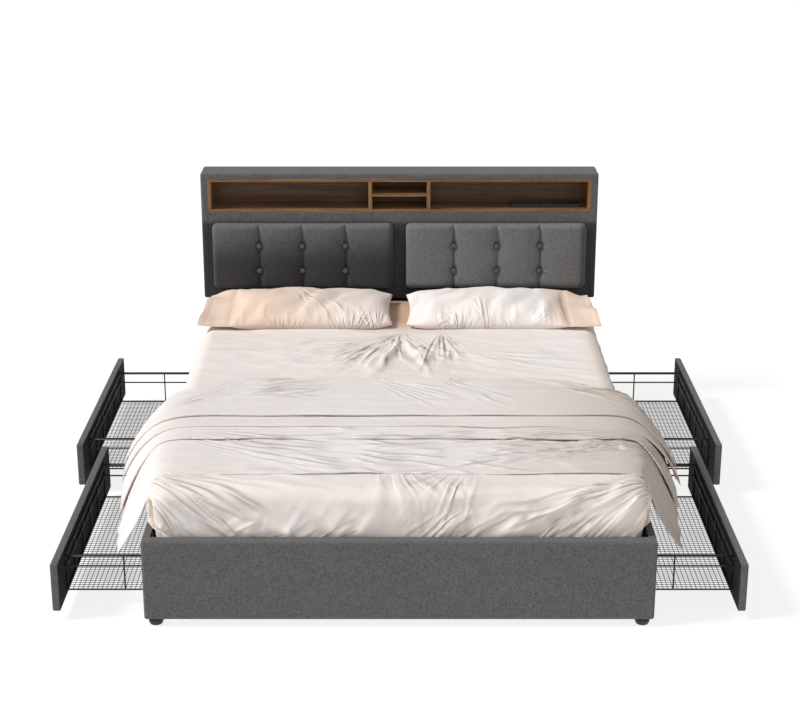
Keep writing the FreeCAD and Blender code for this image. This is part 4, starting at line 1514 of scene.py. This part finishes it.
# The numbers of each Fan are its at, heading, spread, reach, height, count, start and seed.
LAYERS: tuple[DrapedLayer, ...] = (
    DrapedLayer("coverlet_body", COVERLET, "coverlet", 0.4535, (
        station(-0.932, (0.812, 0.305), (0.893, -0.980, 0.203), (0.899, -0.980, 0.213)),
        station(-0.780, (0.852, 0.360), (0.911, -0.855, 0.222), (0.905, -0.855, 0.240)),
        station(-0.600, (0.876, 0.394), (0.914, -0.640, 0.245)),
        station(-0.400, (0.878, 0.396), (0.912, -0.420, 0.262)),
        station(-0.270, (0.870, 0.388), (0.900, -0.300, 0.270))),
        0.0024, 0.030, (
            Fan((-0.84, -0.57), -15.0, 22.0, 1.15, 0.0080, 14.0, 0.10, 31.0),
            Fan((0.88, -0.58), -164.0, 22.0, 1.15, 0.0099, 15.0, 0.08, 32.0),
            Fan((0.76, -0.70), 178.0, 26.0, 0.42, 0.0080, 12.0, 0.05, 33.0)),
        0.009, 40.0, ("coverlet",)),
    DrapedLayer("coverlet_turndown", COVERLET, "coverlet", 0.4605, (
        station(-0.648, (0.874, 0.392), (0.921, -0.765, 0.246), (0.918, -0.765, 0.260)),
        station(-0.560, (0.882, 0.402), (0.928, -0.620, 0.272)),
        station(-0.300, (0.880, 0.400), (0.924, -0.370, 0.282))),
        0.0030, 0.030, (), 0.006, 50.0),
    FringedLayer("throw_underfold", THROW, "throw", 0.4660, (
        station(-0.550, (0.886, 0.410), (0.932, -0.585, 0.302), (0.936, -0.600, 0.297)),
        station(-0.380, (0.888, 0.411), (0.935, -0.430, 0.302)),
        station(-0.260, (0.880, 0.404), (0.928, -0.290, 0.302))),
        0.0034, 0.040, (), 0.004, 60.0),
    FringedLayer("throw_top", THROW, "throw", 0.4755, (
        station(-0.466, (0.890, 0.416), (0.938, -0.475, 0.318), (0.944, -0.490, 0.308)),
        station(-0.280, (0.886, 0.412), (0.940, -0.320, 0.305)),
        station(-0.112, (0.872, 0.402), (0.932, -0.160, 0.302), (0.936, -0.170, 0.294))),
        0.0038, 0.050, (
            Fan((-0.80, -0.34), 26.0, 26.0, 0.42, 0.0120, 7.0, 0.05, 71.0),
            Fan((-0.56, -0.17), 14.0, 22.0, 0.28, 0.0080, 7.0, 0.04, 72.0),
            Fan((-0.09, -0.09), -38.0, 28.0, 0.26, 0.0100, 7.0, 0.04, 73.0),
            Fan((0.13, -0.08), -36.0, 32.0, 0.26, 0.0100, 7.0, 0.04, 74.0),
            Fan((0.24, -0.02), -14.0, 20.0, 0.95, 0.0085, 10.0, 0.12, 75.0),
            Fan((-0.40, -0.38), 10.0, 16.0, 0.90, 0.0045, 12.0, 0.12, 76.0)),
        0.005, 70.0, ("throw",), sweep=0.104),
)


@dataclass(frozen=True)
class Pillow:
    """A soft pillow in a case whose open end lies flat beyond it."""

    side: int
    finish: Cotton
    slot: str
    seam_x: float = 0.676
    columns: int = 132
    rows: int = 72
    clearance: float = 0.0065
    rise: float = 0.054
    belly: float = 0.085
    bow: float = 0.014
    taper: float = 0.020
    wave: float = 0.020

    def build(self) -> None:
        """Make the pillow with its case."""
        node = "pillow_" + side_name(self.side)
        low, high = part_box(node)
        bm = bmesh.new()
        bmesh.ops.create_grid(bm, x_segments=self.columns, y_segments=self.rows, size=1.0)
        bmesh.ops.solidify(bm, geom=bm.faces[:], thickness=0.02)
        middle = sum(vert.co.z for vert in bm.verts) / len(bm.verts)
        bm.verts.index_update()
        marks: dict[int, float] = {}
        for vert in bm.verts:
            share, v, upper = (vert.co.x + 1) / 2, vert.co.y, vert.co.z > middle
            vert.co, marks[vert.index] = self.settle(share, v, upper, low, high)
        if self.side < 0:
            bmesh.ops.reverse_faces(bm, faces=bm.faces)
        relax(bm, 0.4)
        # Crease valleys on the case's upper side take painted shade.
        store_crease_shade(bm, lambda vert: 0.16 * marks[vert.index])
        bmesh.ops.recalc_face_normals(bm, faces=bm.faces)
        show(bm, "case_" + node, self.finish, replaces=[node], angle=80.0)

    def settle(self, share: float, v: float, upper: bool, low: Vector, high: Vector) -> tuple[Point, float]:
        """Place one point of the case.

        Args:
            share: place across the whole case, from 0 at its inner seam to 1 at its open end.
            v: -1 at the front seam, 1 at the back.
            upper: whether the point is on the upper side.
            low: lowest corner of the room that the pillow takes up.
            high: its highest corner.

        Returns:
            The place, and how deep it lies in a crease, from 0 to 1.
        """
        inner, outer = sorted((abs(low.x), abs(high.x)))
        base, middle_y = low.z + self.clearance, (low.y + high.y) / 2
        body = (self.seam_x - inner) / (outer - inner)
        flap = smoothstep((share - body) / (1 - body))
        u = min(1.0, share / body) * 2 - 1
        # The end seams bow inwards between their corners, and the open end narrows towards the back.
        x = inner + (outer - inner) * share
        if u < 1.0:
            x += (1 - v * v) * self.bow * (1 if u < 0 else -1) * abs(u) ** 4
        x -= self.taper * flap * (v + 1) / 2
        # The filling leans back, the long seams bow inwards and the inner front corner is rounded off.
        lean = 0.16 * (1 - v * v)
        y = low.y + (high.y - low.y) * ((v + lean * 0.5 + 1) / 2)
        y = middle_y + (y - middle_y) * (1 - 0.07 * (1 - u * u) * abs(v) ** 1.5)
        if u < 0:
            y += 0.030 * abs(u) ** 7 * max(0.0, -v) ** 2
        # The seam climbs towards the back, the body swells over and under it, and the open end waves.
        full = max(0.0, 1 - abs(u) ** 2.8) ** 0.55 * max(0.0, 1 - abs(v) ** 2.2) ** 0.62
        crease = self.creases(u, v, share) * (0.4 + 0.6 * full)
        seam = base + 0.015 + (0.037 - 0.022 * (abs(u) ** 5 if u < 0 else 0.0)) * (v + 1) / 2
        if upper:
            crown = full * (self.rise + 0.005 * math.sin(3.1 * u + self.side)) * (1 - 0.35 * v)
            z = seam + 0.003 + crown + crease
        else:
            z = max(base - 0.0045, seam - 0.003 - full * self.belly)
        z += flap * (self.wave * noise.noise((x * 9, v * 1.6, 80.0 + self.side)) + 0.006 * flap * (1 - v))
        z -= 0.008 * flap * (1 + v)
        return (self.side * x, y, z), smoothstep(-crease / 0.004) if upper else 0.0

    def creases(self, u: float, v: float, share: float) -> float:
        """Height of the pillow's folds.

        Args:
            u: -1 at the inner seam, 1 at the flap's seam.
            v: -1 at the front seam, 1 at the back.
            share: place across the whole case.

        Returns:
            Metres, positive outwards.
        """
        x, y, seed = u * 0.33, v * 0.19, 90.0 + 10 * self.side
        height = 0.0085 * ripple(x, y, 62.0 * self.side, 0.20, 0.060, seed)
        front = smoothstep((-0.45 - v) / 0.5)
        height += 0.0095 * front * (max(0.0, noise.noise((x / 0.017, v * 1.5, seed + 1)) * 1.6) ** 1.2)
        for corner in (-1, 1):
            fan = Fan((corner * 0.34, -0.20), 90 - corner * 48, 40.0, 0.30, 0.0120, 7.0, 0.03, seed + corner)
            height += fan.lift(x, y)
        return height - 0.007 * bell(share - 0.84, 0.010) - 0.004 * bell(share - 0.965, 0.007)


# ---------------------------------------------------------------- studio
@dataclass(frozen=True)
class Studio:
    """White studio with soft light, seen by a camera at standing height past the foot of the bed."""

    camera_place: Point = (0.0025, -5.9016, 2.538)
    tilt: float = 71.19
    lens: float = 76.77
    glow: float = 0.32
    floor_grey: float = 0.20
    floor_glow: float = 0.82

    def build(self) -> None:
        """Make the floor, the lights and the camera."""
        self.floor()
        self.sky()
        self.sun("key", aim=(-80.0, 43.0), strength=3.4, size=16.0)
        self.sun("fill", aim=(8.0, 22.0), strength=0.66, size=60.0)
        view = bpy.data.cameras.new("camera")
        view.lens, view.sensor_width = self.lens, 36.0
        camera = bpy.data.objects.new("camera", view)
        camera.location = self.camera_place
        camera.rotation_euler = (math.radians(self.tilt), 0.0, 0.0)
        bpy.context.scene.collection.objects.link(camera)
        bpy.context.scene.camera = camera
        bpy.context.scene.view_settings.view_transform = "Standard"

    def floor(self) -> None:
        """Lay a wide white floor that glows, so that shadows on it stay faint."""
        mesh = bpy.data.meshes.new("studio_floor")
        bm = bmesh.new()
        bmesh.ops.create_grid(bm, x_segments=1, y_segments=1, size=60.0)
        bm.to_mesh(mesh)
        bm.free()
        floor = bpy.data.objects.new("studio_floor", mesh)
        mesh.materials.append(Paint("studio_white").done(
            (self.floor_grey,) * 3, 0.9, Emission_Color=(1.0, 1.0, 1.0), Emission_Strength=self.floor_glow))
        bpy.context.scene.collection.objects.link(floor)

    def sky(self) -> None:
        """Light the studio evenly from all round, and show it white above the floor's far edge."""
        world = bpy.data.worlds.new("studio")
        world.use_nodes = True
        background = world.node_tree.nodes["Background"]
        background.inputs["Color"].default_value = (1.0, 1.0, 1.0, 1.0)
        seen = world.node_tree.nodes.new("ShaderNodeLightPath").outputs["Is Camera Ray"]
        bright = world.node_tree.nodes.new("ShaderNodeMapRange")
        bright.inputs["To Min"].default_value, bright.inputs["To Max"].default_value = self.glow, 1.0
        world.node_tree.links.new(seen, bright.inputs["Value"])
        world.node_tree.links.new(bright.outputs[0], background.inputs["Strength"])
        bpy.context.scene.world = world

    def sun(self, name: str, aim: tuple[float, float], strength: float, size: float) -> None:
        """Add a broad far light.

        Args:
            name: the light's name.
            aim: where it stands, as degrees to the right of the camera and above the floor.
            strength: its strength.
            size: how broad it looks, in degrees.
        """
        light = bpy.data.lights.new(name, "SUN")
        light.energy, light.angle = strength, math.radians(size)
        lamp = bpy.data.objects.new(name, light)
        turn, rise = math.radians(aim[0]), math.radians(aim[1])
        place = Vector((math.sin(turn) * math.cos(rise), -math.cos(turn) * math.cos(rise), math.sin(rise)))
        lamp.rotation_euler = place.to_track_quat("Z", "Y").to_euler()
        lamp.location = place * 6
        bpy.context.scene.collection.objects.link(lamp)


def main() -> None:
    """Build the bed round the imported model, and report its pieces."""
    logging.basicConfig(level=logging.INFO, format="%(name)s: %(message)s")
    Studio().build()
    Headboard().build()
    Base().build()
    for place in ("near", "far"):
        for side in (-1, 1):
            Drawer(place, side).build()
    Mattress().build()
    for layer in LAYERS:
        layer.build()
    Pillow(-1, PILLOW_WARM, "pillow_warm").build()
    Pillow(1, PILLOW_WHITE, "pillow_white").build()


if __name__ == "__main__":
    main()
